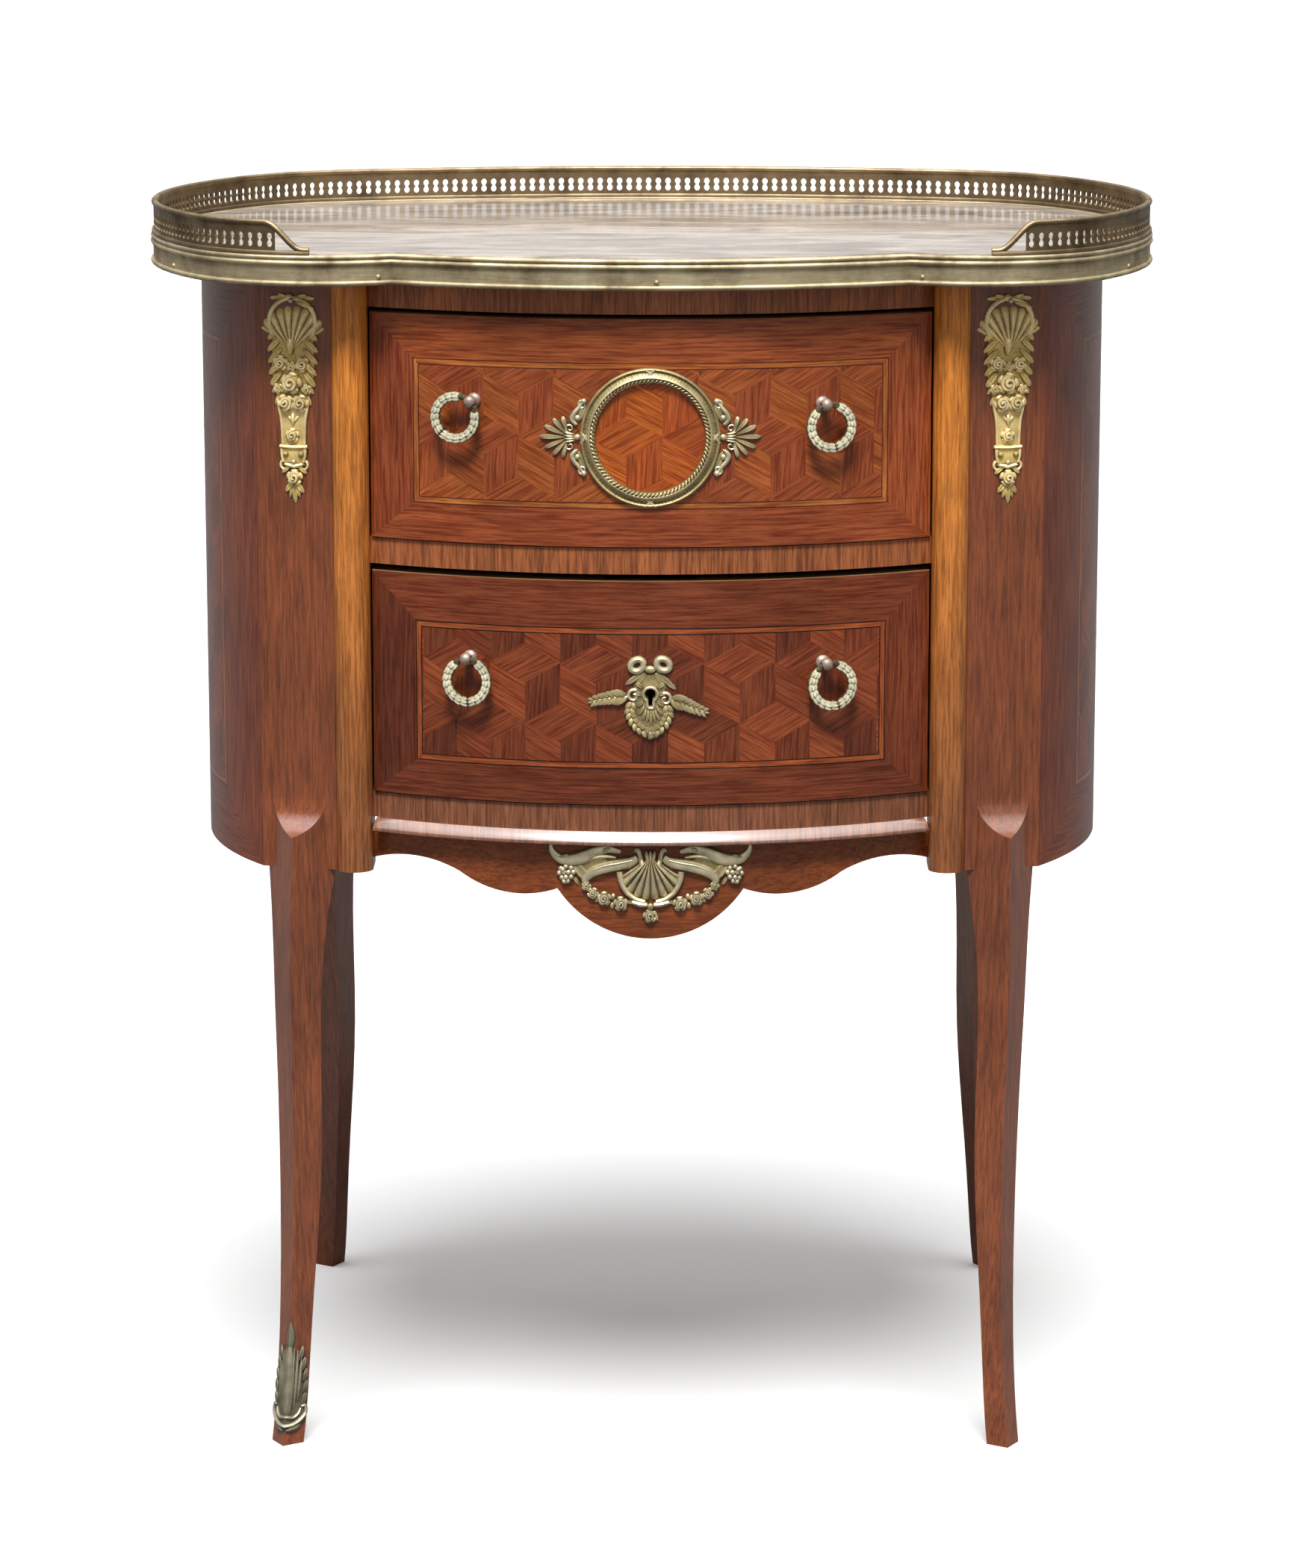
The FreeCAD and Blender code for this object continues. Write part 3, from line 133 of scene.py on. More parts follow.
# Plan of the rim: five arcs of its right half, each a centre and a radius
RIM_HALF = 310.0
RIM_FRONT = -207.0
KINK_SET_BACK = 34.0
KINK = (RIM_HALF - 157.0, RIM_FRONT + KINK_SET_BACK)
RIM_BOW_RADIUS = arc_radius(KINK[0], KINK_SET_BACK)
LOBE_RADIUS = 93.0
END_RADIUS = 245.0
CORNER_RADIUS = 118.0
BACK_RADIUS = 700.0
END_CENTRE = (RIM_HALF - END_RADIUS, -10.0)
BACK_CENTRE = (0.0, -RIM_FRONT - BACK_RADIUS)
LOBE_CENTRE = meeting(END_CENTRE, END_RADIUS - LOBE_RADIUS, KINK, LOBE_RADIUS)[1]
CORNER_CENTRE = meeting(END_CENTRE, END_RADIUS - CORNER_RADIUS, BACK_CENTRE, BACK_RADIUS - CORNER_RADIUS)[1]
RIM_BOW = ((0.0, RIM_FRONT + RIM_BOW_RADIUS), RIM_BOW_RADIUS)
RIM_LOBE = (LOBE_CENTRE, LOBE_RADIUS)
RIM_END = (END_CENTRE, END_RADIUS)
RIM_CORNER = (CORNER_CENTRE, CORNER_RADIUS)
RIM_BACK = (BACK_CENTRE, BACK_RADIUS)

# Section of the rim and its nails: arc, angle in degrees and sides on which the nail sits
RIM_WALL = 9.0
REED = 1.6
FASCIA_SET_BACK = 1.75
NAIL_RADIUS = 1.6
NAIL_RISE = 1.3
NAIL_SET_BACK = 1.9
NAIL_ABOVE_CASE = 5.0
BOTH = (1, -1)
RIM_NAILS = (
    (RIM_BOW, -89.4, (1,)), (RIM_LOBE, -112.0, BOTH), (RIM_END, -24.0, BOTH), (RIM_END, 24.0, BOTH),
    (RIM_BACK, 81.0, BOTH),
)

# Gallery: places across where the wall, the ramp and the strip end, and a quarter of a hole's outline
GALLERY_INSET = 3.0
WALL_END_X = 221.0
RAMP_END_X = 204.0
STRIP_END_X = 200.6
WALL_HALF = 0.8
HOLE_ABOVE_RIM = 8.5
HOLE_QUARTER = ((0.9, 0.0), (1.85, 1.65), (1.75, 3.04), (0.95, 3.97), (0.0, 4.3))
RAIL_HALF_WIDTH = 2.0
RAIL_HALF_HEIGHT = 1.8
STRIP_PROFILE = ((2, -1.2), (2, 0.7), (1.5, 1.2), (-1.5, 1.2), (-2, 0.7), (-2, -1.2))
STRIP_HALF = 1.2

# Front left foot
FOOT_LEVELS = (8.0, 20.0, 40.0, 60.0, 74.0)
FOOT_SECTIONS = [foot_corners(level) for level in FOOT_LEVELS]

# Ring pulls and their studs; the stud's foot is a section of distances from its axis and places along it
LEVELS = ("upper", "lower")
SIDES = (("left", -1), ("right", 1))
RING_RADIUS = 13.3
WIRE_RADIUS = 1.6
STUD_STAND_OFF = 8.0
STUD_SHANK = -23.5
BEAD_RADIUS = 3.8
BEAD_MOUTH = 53
EYE_RADIUS = 1.85
STUD_FOOT = (
    (0.0, STUD_SHANK), (2.0, STUD_SHANK), (2.0, 0.0), (4.3, 0.0), (4.4, 0.8), (4.0, 1.7), (3.0, 2.4),
    (2.4, 3.2), (2.4, 5.5), (0.0, 5.5),
)

# Keyhole: round eye and slot below it
KEYHOLE_EYE = 3.2
KEYHOLE_DEPTH = 7.1
KEYHOLE_SLOT = 1.6

# Section of the round frame: distance from its middle, height
MEDALLION_PROFILE = (
    (41.5, -0.2), (41.5, 1.2), (41.1, 2.1), (40.4, 2.6), (39.7, 2.3), (39.2, 1.5), (38.9, 1.5), (38.4, 1.9),
    (37.6, 2.2), (36.7, 2.9), (36.0, 3.7), (35.6, 3.8), (35.4, 3.1), (35.1, 3.1), (34.7, 3.5), (34.1, 3.7),
    (33.6, 3.4), (33.2, 2.9), (32.8, 2.4), (32.4, -0.2),
)
ESCUTCHEON_BODY = (
    (-8.0, 9.5), (-4.0, 12.5), (4.0, 12.5), (8.0, 9.0), (9.2, 3.0), (9.6, -4.0), (9.0, -12.0), (5.5, -19.0),
    (0.9, -23.0), (-5.0, -19.5), (-9.5, -13.0), (-10.5, -4.0), (-10.0, 4.0),
)

FRAME_FINISHES = {
    "mahogany_leg": ("front_left_leg", "front_right_leg", "rear_left_leg", "rear_right_leg"),
    "amber_column": ("left_column", "right_column"),
    "rosewood_rail": ("top_rail", "middle_rail"),
    "rosewood_low_rail": ("bottom_rail",),
    "rosewood_apron": ("front_apron",),
    "oak_board": (
        "dust_board", "bottom_board", "top_board", "upper_drawer_front", "upper_drawer_back",
        "upper_drawer_bottom", "lower_drawer_front", "lower_drawer_back", "lower_drawer_bottom",
    ),
    "oak_strip": (
        "drawer_runners", "drawer_guides", "drawer_stops", "upper_drawer_left_side",
        "upper_drawer_right_side", "lower_drawer_left_side", "lower_drawer_right_side",
    ),
    "oak_back": ("left_side_panel", "right_side_panel", "back_panel"),
    "veined_marble": ("marble_top",),
    "wrought_iron": ("upper_ring_nuts", "lower_ring_nuts", "lock_case", "lock_screws", "lock_bolt"),
}

# Camera fitted to the photograph: place in metres, angles in radians, focus and shift in its pixels
CAMERA_PLACE = (0.016408, -3.154378, 1.028849)
CAMERA_PITCH = 0.199
CAMERA_TURN = 0.004
CAMERA_FOCUS = 6781.478
CAMERA_SHIFT = -37.755
PHOTO_HEIGHT = 2100
SENSOR = 36

# Studio: levels of the world, the floor and what polished surfaces mirror; the floor's place in metres
AMBIENT_LEVEL = 0.24
ROOM_LEVEL = 0.12
FLOOR_GLOW = 0.14
FLOOR_BOUNCE = 0.36
FLOOR_MIRROR = 0.18
SOFTBOX_LEVEL = 2.4
BACKDROP_LEVEL = 0.2
WALL_LEVEL = 0.65
FLOOR_FRONT = -1.0
FLOOR_REACH = 60.0

# Suns: name, place they shine from, spread in degrees, strength and what they light
SUNS = (
    ("key_light", (-0.06, -0.53, 1.0), 16.0, 5.0, "all else"),
    ("overhead_light", (0.0, -0.02, 1.0), 70.0, 0.6, "everything"),
    ("front_fill", (0.15, -1.0, 0.5), 60.0, 0.35, "all else"),
    ("back_fill", (0.1, 1.0, 0.6), 60.0, 0.7, "all else"),
    ("floor_light", (0.0, -0.36, 1.0), 37.0, 3.6, "floor"),
)


def linear(code):
    """Linear colour, with full alpha, from an sRGB hex code."""
    shares = [int(code[i:i + 2], 16) / 255 for i in (0, 2, 4)]
    return tuple(s / 12.92 if s <= 0.04045 else ((s + 0.055) / 1.055) ** 2.4 for s in shares) + (1.0,)


def size_property(name, description, size_mm):
    """Length that a user may change."""
    return bpy.props.FloatProperty(
        name=name, description=description, default=size_mm * MM, min=0.01 * MM, subtype="DISTANCE",
        unit="LENGTH")


def colour_property(name, description, code):
    """Colour that a user may change, given as an sRGB hex code."""
    return bpy.props.FloatVectorProperty(
        name=name, description=description, default=linear(code), size=4, subtype="COLOR", min=0.0, max=1.0)


class NightstandSizes(bpy.types.PropertyGroup):
    """Sizes of the decoration."""

    rhomb_width: size_property("Rhomb width", "Width of an upright rhomb of the cube parquetry", 21.5)
    rhomb_side: size_property("Rhomb side", "Upright side of a rhomb of the cube parquetry", 24.2)
    string_width: size_property("String width", "Width of the light string round the parquetry", 2.8)
    line_width: size_property("Line width", "Width of the dark lines beside the string", 0.7)
    hole_pitch: size_property("Hole pitch", "Distance between the holes of the gallery", 6.4)
    laurel_leaves: bpy.props.IntProperty(
        name="Laurel leaves", description="Pairs of leaves on each half of a ring pull", default=8, min=3)


class NightstandColours(bpy.types.PropertyGroup):
    """Colours of the finishes."""

    line: colour_property("Ebonised line", "Dark lines of the parquetry", "2a130b")
    shade: colour_property("Dark veneer", "Darkest pieces of veneer", "6e3722")
    veneer: colour_property("Red veneer", "Ordinary pieces of veneer", "a65530")
    veneer_streak: colour_property("Veneer streak", "Shade of the dark streaks in the veneer", "b9907c")
    glow: colour_property("Orange veneer", "Brightest pieces of veneer", "bd6c30")
    string: colour_property("String", "Light string of the parquetry", "c8894c")
    leg: colour_property("Leg wood", "Wood of the posts and legs", "904c28")
    leg_grain: colour_property("Leg grain", "Dark grain of the posts and legs", "6f361c")
    column: colour_property("Column wood", "Amber wood of the columns", "f0963e")
    column_grain: colour_property("Column grain", "Dark grain of the columns", "b4682a")
    rail: colour_property("Rail veneer", "Cross-grained veneer of the rails", "b66a3e")
    rail_grain: colour_property("Rail grain", "Dark grain of the rails", "784228")
    low_rail: colour_property("Low rail veneer", "Duller veneer of the bottom rail", "985f41")
    low_rail_grain: colour_property("Low rail grain", "Dark grain of the bottom rail", "683e2b")
    oak: colour_property("Oak", "Inner wood", "b08a5a")
    oak_grain: colour_property("Oak grain", "Grain of the inner wood", "876238")
    marble: colour_property("Marble", "Ground of the marble", "d2c5b8")
    marble_vein: colour_property("Marble vein", "Veins of the marble", "7e7064")
    brass: colour_property("Brass", "Worn brass of the rim", "c6b896")
    brass_dark: colour_property("Dull brass", "Tarnish on the rim", "80725a")
    gallery: colour_property("Gallery", "Tarnished brass of the gallery", "968264")
    gallery_dark: colour_property("Gallery tarnish", "Darkest patches of the gallery", "5e4f3b")
    gilt: colour_property("Gilt crests", "Raised parts of the gilt mounts", "e6dab8")
    gilt_flank: colour_property("Gilt flanks", "Flanks of the gilt mounts", "ae9c6c")
    # The post mounts' gilt is painted brighter and yellower than the other gilt: painted light against the
    # rim's shadow
    gilt_painted_bright: colour_property("Crests painted bright", "Raised parts of the post mounts", "ffecba")
    gilt_painted_bright_flank: colour_property("Flanks painted bright", "Flanks of the post mounts", "e2c274")
    laurel: colour_property("Laurel crests", "Raised parts of the ring pulls", "fdf8e0")
    laurel_flank: colour_property("Laurel flanks", "Flanks of the ring pulls", "b4aa82")
    # Hollow colour of the gilt: partly real dirt, partly painted shade in the crevices
    gilt_dark: colour_property("Gilt hollows", "Hollows of the gilt mounts", "48391e")
    bronze: colour_property("Bronze crests", "Raised parts of the shoe", "a8a189")
    bronze_flank: colour_property("Bronze flanks", "Flanks of the shoe", "6d6652")
    # Hollow colour of the shoe: partly real dirt, partly painted shade in the crevices
    bronze_dark: colour_property("Bronze hollows", "Hollows of the shoe", "2a251c")
    stud: colour_property("Stud bronze", "Worn studs of the ring pulls", "bba698")
    stud_dark: colour_property("Stud tarnish", "Tarnish on the studs", "8c786a")
    iron: colour_property("Iron", "Lock and nuts", "6c6a66")
    floor: colour_property("Floor", "Pale floor", "f1f1f1")


def add_node(tree, kind, settings, inputs):
    """Adds a shader node with its settings; each input takes a value or another node's output."""
    made = tree.nodes.new("ShaderNode" + kind)
    for key, value in settings.items():
        if key == "stops":
            while len(made.color_ramp.elements) < len(value):
                made.color_ramp.elements.new(0.5)
            for element, (place, colour) in zip(made.color_ramp.elements, value):
                element.position = place
                element.color = colour
        else:
            setattr(made, key, value)
    for key, value in inputs.items():
        if isinstance(value, bpy.types.NodeSocket):
            tree.links.new(value, made.inputs[key])
        else:
            made.inputs[key].default_value = value
    return made


def new_material(name, surface):
    """Empty procedural material with its surface shader, whose plain values are given."""
    made = bpy.data.materials.new(name)
    made.use_nodes = True
    tree = made.node_tree
    shader = tree.nodes["Principled BSDF"]
    for key, value in surface.items():
        shader.inputs[key].default_value = value
    return made, tree, shader


# Settings of a colour mix; its sockets are 0 for the factor, 6 and 7 for the colours, and output 2
MIX = {"data_type": "RGBA", "blend_type": "MIX"}
MULTIPLY = {"data_type": "RGBA", "blend_type": "MULTIPLY"}

# Polishes, and the axes of the coordinates along which grain runs
POLISH = {
    "Roughness": 0.28, "IOR": 1.5, "Specular IOR Level": 0.3, "Coat Weight": 0.2, "Coat Roughness": 0.07,
}
LEG_POLISH = {
    **POLISH, "Specular IOR Level": 0.5, "Coat Weight": 0.7, "Coat Roughness": 0.15, "Coat IOR": 1.6,
}
THICK_POLISH = {
    "Roughness": 0.3, "IOR": 1.5, "Specular IOR Level": 1.0, "Coat Weight": 1.0, "Coat Roughness": 0.2,
    "Coat IOR": 1.8,
}
OILED = {"Roughness": 0.6, "IOR": 1.5}
ACROSS, DEEP, UPRIGHT, SLOPING = (X,), (Y,), (Z,), (Y, Z)

# Widths of the wood's patterns, with how many times longer they are along the grain
FIGURE_MM, FIGURE_STRETCH = 9, 7
STREAK_MM, STREAK_STRETCH = 1.5, 22
PORE_MM, PORE_STRETCH = 0.6, 16
PATINA_MM = 70

# Shades that multiply a colour: columns darker and browner low down, and veneer more orange inside the round
# frame
DARKER_BELOW = (0.44, 0.45, 1.0, 1.0)
DARKER_BELOW_LEVELS = (380, 640)
ORANGER_IN_FRAME = (1.35, 1.2, 0.75, 1.0)
ORANGER_IN_FRAME_REACH = (34, 37)

# Cells of the other patterns; drawn metal has 1.2 lines to the millimetre
MARBLE_CLOUD_MM = (111.1, 33.33, 33.33)
MARBLE_VEIN_MM = (71.43, 18.18, 18.18)
GRIT_MM = 1.2
STAIN_MM = 9
DRAWN_MM = (50 / 3, 50 / 3, 1 / 1.2)


def grey(level):
    """Grey stop of a ramp."""
    return (level, level, level, 1.0)


def pattern(tree, coords, cells_mm, **inputs):
    """Noise whose cells have the given sizes, in millimetres, along the three axes."""
    scale = [1 / (cell * MM) for cell in cells_mm]
    place = add_node(tree, "Mapping", {}, {"Vector": coords, "Scale": scale})
    return add_node(tree, "TexNoise", {}, {"Vector": place.outputs[0], "Scale": 1.0, **inputs}).outputs["Fac"]


def darkened(tree, colour, fac, levels, share=1.0):
    """Colour darkened by a pattern; levels give places on a ramp and the grey there."""
    stops = [(place, grey(level)) for place, level in levels]
    shade = add_node(tree, "ValToRGB", {"stops": stops}, {"Fac": fac}).outputs["Color"]
    return add_node(tree, "Mix", MULTIPLY, {0: share, 6: colour, 7: shade}).outputs[2]


def embossed(tree, shader, height, strength, depth_mm):
    """Lets a pattern stand out of the surface."""
    inputs = {"Strength": strength, "Distance": depth_mm * MM, "Height": height}
    tree.links.new(add_node(tree, "Bump", {}, inputs).outputs[0], shader.inputs["Normal"])


def veneer_tones(tree, place, stops, streak):
    """Light and dark tone of veneer whose pieces have their own tints.

    Veneer inside the round frame is made brighter and more orange.
    """
    tint = add_node(tree, "Attribute", {"attribute_name": "tint"}, {}).outputs["Fac"]
    light = add_node(tree, "ValToRGB", {"stops": stops}, {"Fac": tint}).outputs["Color"]
    flat = add_node(tree, "VectorMath", {"operation": "MULTIPLY"}, {0: place, 1: (1, 0, 1)}).outputs[0]
    inputs = {0: flat, 1: (0, 0, MEDALLION_Z * MM)}
    apart = add_node(tree, "VectorMath", {"operation": "DISTANCE"}, inputs).outputs["Value"]
    inputs = {0: apart, 1: ORANGER_IN_FRAME_REACH[0] * MM, 2: ORANGER_IN_FRAME_REACH[1] * MM, 3: 1.0, 4: 0.0}
    near = add_node(tree, "MapRange", {}, inputs).outputs[0]
    light = add_node(tree, "Mix", MULTIPLY, {0: near, 6: light, 7: ORANGER_IN_FRAME}).outputs[2]
    return light, add_node(tree, "Mix", MULTIPLY, {0: 1.0, 6: light, 7: streak}).outputs[2]


def wood(name, light, dark, along, surface, stops=None, foot=None):
    """Polished wood: long figure, dark streaks and fine pores along the grain, under clouds of patina.

    Grain runs along one axis, or along two on a sloping face. Pores, really 0.2 mm wide, are drawn wider so
    that they show. With stops the wood is veneer: its pieces have their own tints, and their grain follows
    the UV map. Foot gives two levels: below the first the wood is darker and browner, above the second it
    keeps its colour.
    """
    made, tree, shader = new_material(name, surface)
    place = add_node(tree, "TexCoord", {}, {}).outputs["Object"]
    coords = add_node(tree, "UVMap", {"uv_map": "grain"}, {}).outputs["UV"] if stops else place

    def grain(width_mm, stretch, detail, distortion):
        cells = [width_mm * stretch if axis in along else width_mm for axis in (X, Y, Z)]
        return pattern(tree, coords, cells, Detail=detail, Distortion=distortion)

    figure = grain(FIGURE_MM, FIGURE_STRETCH, 4.0, 1.0)
    streak = grain(STREAK_MM, STREAK_STRETCH, 4.0, 0.5)
    pores = grain(PORE_MM, PORE_STRETCH, 2.0, 0.0)
    patina = pattern(tree, place, [PATINA_MM] * 3, Detail=3.0)
    if stops:
        light, dark = veneer_tones(tree, place, stops, dark)
    streak_stops = [(0.36, grey(0.1)), (0.6, grey(1.0))]
    clear = add_node(tree, "ValToRGB", {"stops": streak_stops}, {"Fac": streak}).outputs["Color"]
    colour = add_node(tree, "Mix", MIX, {0: clear, 6: dark, 7: light}).outputs[2]
    colour = darkened(tree, colour, figure, ((0.32, 0.74), (0.66, 1.0)))
    colour = darkened(tree, colour, patina, ((0.35, 0.78), (0.65, 1.0)))
    colour = darkened(tree, colour, pores, ((0.34, 0.6), (0.5, 1.0)), share=0.8)
    if foot:
        level = add_node(tree, "SeparateXYZ", {}, {0: place}).outputs["Z"]
        inputs = {0: level, 1: foot[0] * MM, 2: foot[1] * MM, 3: 1.0, 4: 0.0}
        low = add_node(tree, "MapRange", {}, inputs).outputs[0]
        colour = add_node(tree, "Mix", MULTIPLY, {0: low, 6: colour, 7: DARKER_BELOW}).outputs[2]
    tree.links.new(colour, shader.inputs["Base Color"])
    embossed(tree, shader, pores, 0.12, 0.2)
    return made


def cast_metal(name, tones, roughness, metallic):
    """Cast metal: rubbed bright crests, dull flanks, hollows darkened by dirt and painted shade, stains, fine
    casting grit.

    Tones are the colours of hollows, flanks and crests. Old gilding is thin, so the metal is not fully a
    mirror.
    """
    made, tree, shader = new_material(name, {"Metallic": metallic})
    relief = add_node(tree, "Attribute", {"attribute_name": "relief"}, {}).outputs["Fac"]
    coords = add_node(tree, "TexCoord", {}, {}).outputs["Object"]
    grit = pattern(tree, coords, [GRIT_MM] * 3, Detail=4.0)
    stain = pattern(tree, coords, [STAIN_MM] * 3, Detail=3.0)
    # Where the relief is low the colour runs to the hollow tone: partly real dirt and lost gilding, partly
    # painted shade in the crevices
    high = add_node(tree, "Math", {"operation": "MULTIPLY"}, {0: relief, 1: 0.8}).outputs[0]
    wear_and_shade = add_node(tree, "Math", {"operation": "MULTIPLY_ADD"}, {0: grit, 1: 0.36, 2: high}).outputs[0]
    stops = list(zip((0.18, 0.44, 0.86), tones))
    colour = add_node(tree, "ValToRGB", {"stops": stops}, {"Fac": wear_and_shade}).outputs["Color"]
    aged = darkened(tree, colour, stain, ((0.35, 0.7), (0.6, 1.0)))
    tree.links.new(aged, shader.inputs["Base Color"])
    stops = [(0.25, grey(min(1.0, roughness + 0.35))), (0.9, grey(roughness))]
    rough = add_node(tree, "ValToRGB", {"stops": stops}, {"Fac": wear_and_shade}).outputs["Color"]
    tree.links.new(rough, shader.inputs["Roughness"])
    embossed(tree, shader, grit, 0.3, 0.3)
    return made


def rolled_metal(name, bright, dull, roughness, patch_mm, metallic=1.0):
    """Rolled metal: patches of tarnish and faint drawn lines along the strip."""
    made, tree, shader = new_material(name, {"Metallic": metallic})
    coords = add_node(tree, "TexCoord", {}, {}).outputs["Object"]
    patch = pattern(tree, coords, [patch_mm] * 3, Detail=6.0, Roughness=0.65)
    drawn = pattern(tree, coords, DRAWN_MM, Detail=3.0)
    stops = [(0.32, dull), (0.62, bright)]
    colour = add_node(tree, "ValToRGB", {"stops": stops}, {"Fac": patch}).outputs["Color"]
    lined = darkened(tree, colour, drawn, ((0.3, 0.8), (0.6, 1.0)))
    tree.links.new(lined, shader.inputs["Base Color"])
    stops = [(0.3, grey(min(1.0, roughness + 0.2))), (0.65, grey(roughness))]
    rough = add_node(tree, "ValToRGB", {"stops": stops}, {"Fac": patch}).outputs["Color"]
    tree.links.new(rough, shader.inputs["Roughness"])
    embossed(tree, shader, drawn, 0.1, 0.2)
    return made


def rosewood_parquetry(name, c):
    """Rosewood veneer under a thin polish: every rhomb has its own red and its own way of the grain."""
    stops = [(0.0, c.line), (0.18, c.shade), (0.5, c.veneer), (0.82, c.glow), (1.0, c.string)]
    return wood(name, c.veneer, c.veneer_streak, ACROSS, POLISH, stops=stops)


def rosewood_rail(name, c):
    """Rosewood veneer of the rails: short upright grain that shimmers across the bow."""
    return wood(name, c.rail, c.rail_grain, UPRIGHT, POLISH)


def rosewood_low_rail(name, c):
    """Rosewood veneer of the bottom rail: like the other rails, but duller and greyer."""
    return wood(name, c.low_rail, c.low_rail_grain, UPRIGHT, POLISH)


def rosewood_moulding(name, c):
    """Rosewood moulding under thick polish: it mirrors the light from above as a pale band."""
    return wood(name, c.low_rail, c.low_rail_grain, SLOPING, THICK_POLISH)


def rosewood_apron(name, c):
    """Rosewood of the apron: dark red, with its grain along the bow."""
    return wood(name, c.leg, c.leg_grain, ACROSS, POLISH)


def mahogany_leg(name, c):
    """Mahogany of posts and legs: red brown, upright grain, soft highlights on the arrises."""
    return wood(name, c.leg, c.leg_grain, UPRIGHT, LEG_POLISH)


def amber_column(name, c):
    """Amber coloured wood of the columns: orange at the top, darker and browner lower down."""
    return wood(name, c.column, c.column_grain, UPRIGHT, POLISH, foot=DARKER_BELOW_LEVELS)


def oak_board(name, c):
    """Oiled oak of boards: matt yellow brown, grain from side to side."""
    return wood(name, c.oak, c.oak_grain, ACROSS, OILED)


def oak_strip(name, c):
    """Oiled oak of strips and drawer sides: matt yellow brown, grain from front to back."""
    return wood(name, c.oak, c.oak_grain, DEEP, OILED)


def oak_back(name, c):
    """Stained oak of the back and the side boards: matt dark brown, upright grain."""
    return wood(name, c.rail_grain, c.leg_grain, UPRIGHT, OILED)


def veined_marble(name, c):
    """Polished marble: a pale warm ground, grey clouds drawn out from side to side, and fine veins."""
    made, tree, shader = new_material(name, {"Roughness": 0.1, "IOR": 1.55})
    coords = add_node(tree, "TexCoord", {}, {}).outputs["Object"]
    cloud = pattern(tree, coords, MARBLE_CLOUD_MM, Detail=10.0, Roughness=0.68, Distortion=1.2)
    stops = [(0.34, c.marble_vein), (0.6, c.marble)]
    ground = add_node(tree, "ValToRGB", {"stops": stops}, {"Fac": cloud}).outputs["Color"]
    vein = pattern(tree, coords, MARBLE_VEIN_MM, Detail=8.0, Distortion=2.0)
    colour = darkened(tree, ground, vein, ((0.47, 1.0), (0.5, 0.74), (0.53, 1.0)))
    tree.links.new(colour, shader.inputs["Base Color"])
    return made


def lacquered_brass(name, c):
    """Worn brass of the rim: a soft pale shine with dull patches."""
    return rolled_metal(name, c.brass, c.brass_dark, 0.55, 30)


def tarnished_brass(name, c):
    """Tarnished brass of the gallery: browner and darker than the rim."""
    return rolled_metal(name, c.gallery, c.gallery_dark, 0.4, 25)


def chased_gilt_bronze(name, c):
    """Gilt bronze of the front mounts: pale gold crests over brown hollows."""
    return cast_metal(name, (c.gilt_dark, c.gilt_flank, c.gilt), 0.28, 0.6)


def burnished_gilt_bronze(name, c):
    """Gilt bronze of the post mounts, painted brighter and yellower against the rim's shadow: painted light.
    """
    return cast_metal(name, (c.gilt_dark, c.gilt_painted_bright_flank, c.gilt_painted_bright), 0.26, 0.3)


def gilded_laurel_bronze(name, c):
    """Gilt bronze of the ring pulls: nearly white leaves with greenish flanks."""
    return cast_metal(name, (c.gilt_dark, c.laurel_flank, c.laurel), 0.3, 0.3)


def patinated_bronze(name, c):
    """Bronze of the shoe, which has lost its gilding: grey green crests over black hollows."""
    return cast_metal(name, (c.bronze_dark, c.bronze_flank, c.bronze), 0.4, 0.6)


def stud_bronze(name, c):
    """Handled bronze of the studs: a smooth pinkish grey."""
    return rolled_metal(name, c.stud, c.stud_dark, 0.35, 6, metallic=0.5)


def wrought_iron(name, c):
    """Iron of the lock and the nuts: dark grey with blackened patches."""
    return rolled_metal(name, c.iron, c.bronze_dark, 0.45, 12)


FINISHES = {maker.__name__: maker for maker in (
    rosewood_parquetry, rosewood_rail, rosewood_low_rail, rosewood_moulding, rosewood_apron, mahogany_leg,
    amber_column, oak_board, oak_strip, oak_back, veined_marble, lacquered_brass, tarnished_brass,
    chased_gilt_bronze, burnished_gilt_bronze, gilded_laurel_bronze, patinated_bronze, stud_bronze,
    wrought_iron,
)}


def material(name):
    """Finish of the nightstand by its name, made when it is first asked for."""
    return bpy.data.materials.get(name) or FINISHES[name](name, bpy.context.scene.nightstand_colours)


def new_mesh():
    """Empty mesh whose vertices remember how far they stand out of the hollows."""
    bm = bmesh.new()
    bm.verts.layers.float.new("relief")
    return bm


def crest(rise):
    """Relief of a rounded section: rubbed bright in its middle, dark at its edges from dirt and painted
    shade.
    """
    return max(0.0, (rise - 0.25) / 0.75) ** 1.5


def grounded(point):
    """Point of a flat ornament; one without a height lies on the ground."""
    return Vector((*point, 0.0)[:3])


def polar(reach, turn, height=0.0):
    """Point at a distance from the middle, at an angle and a height."""
    return Vector((reach * math.cos(turn), reach * math.sin(turn), height))


def flipped(points, hand, up=1):
    """Points of an ornament, mirrored left to right and upside down where hand and up are -1."""
    return [(hand * x, up * y, *rest) for x, y, *rest in points]


def arc_points(centre, radius, start, end, count):
    """Points of an arc of a section, angles in degrees."""
    turns = [math.radians(start + (end - start) * k / count) for k in range(count + 1)]
    return [(centre[0] + radius * math.cos(t), centre[1] + radius * math.sin(t)) for t in turns]


def join(bm, detail):
    """Adds a finished detail to a piece."""
    mesh = bpy.data.meshes.new("detail")
    detail.to_mesh(mesh)
    detail.free()
    bm.from_mesh(mesh)
    bpy.data.meshes.remove(mesh)


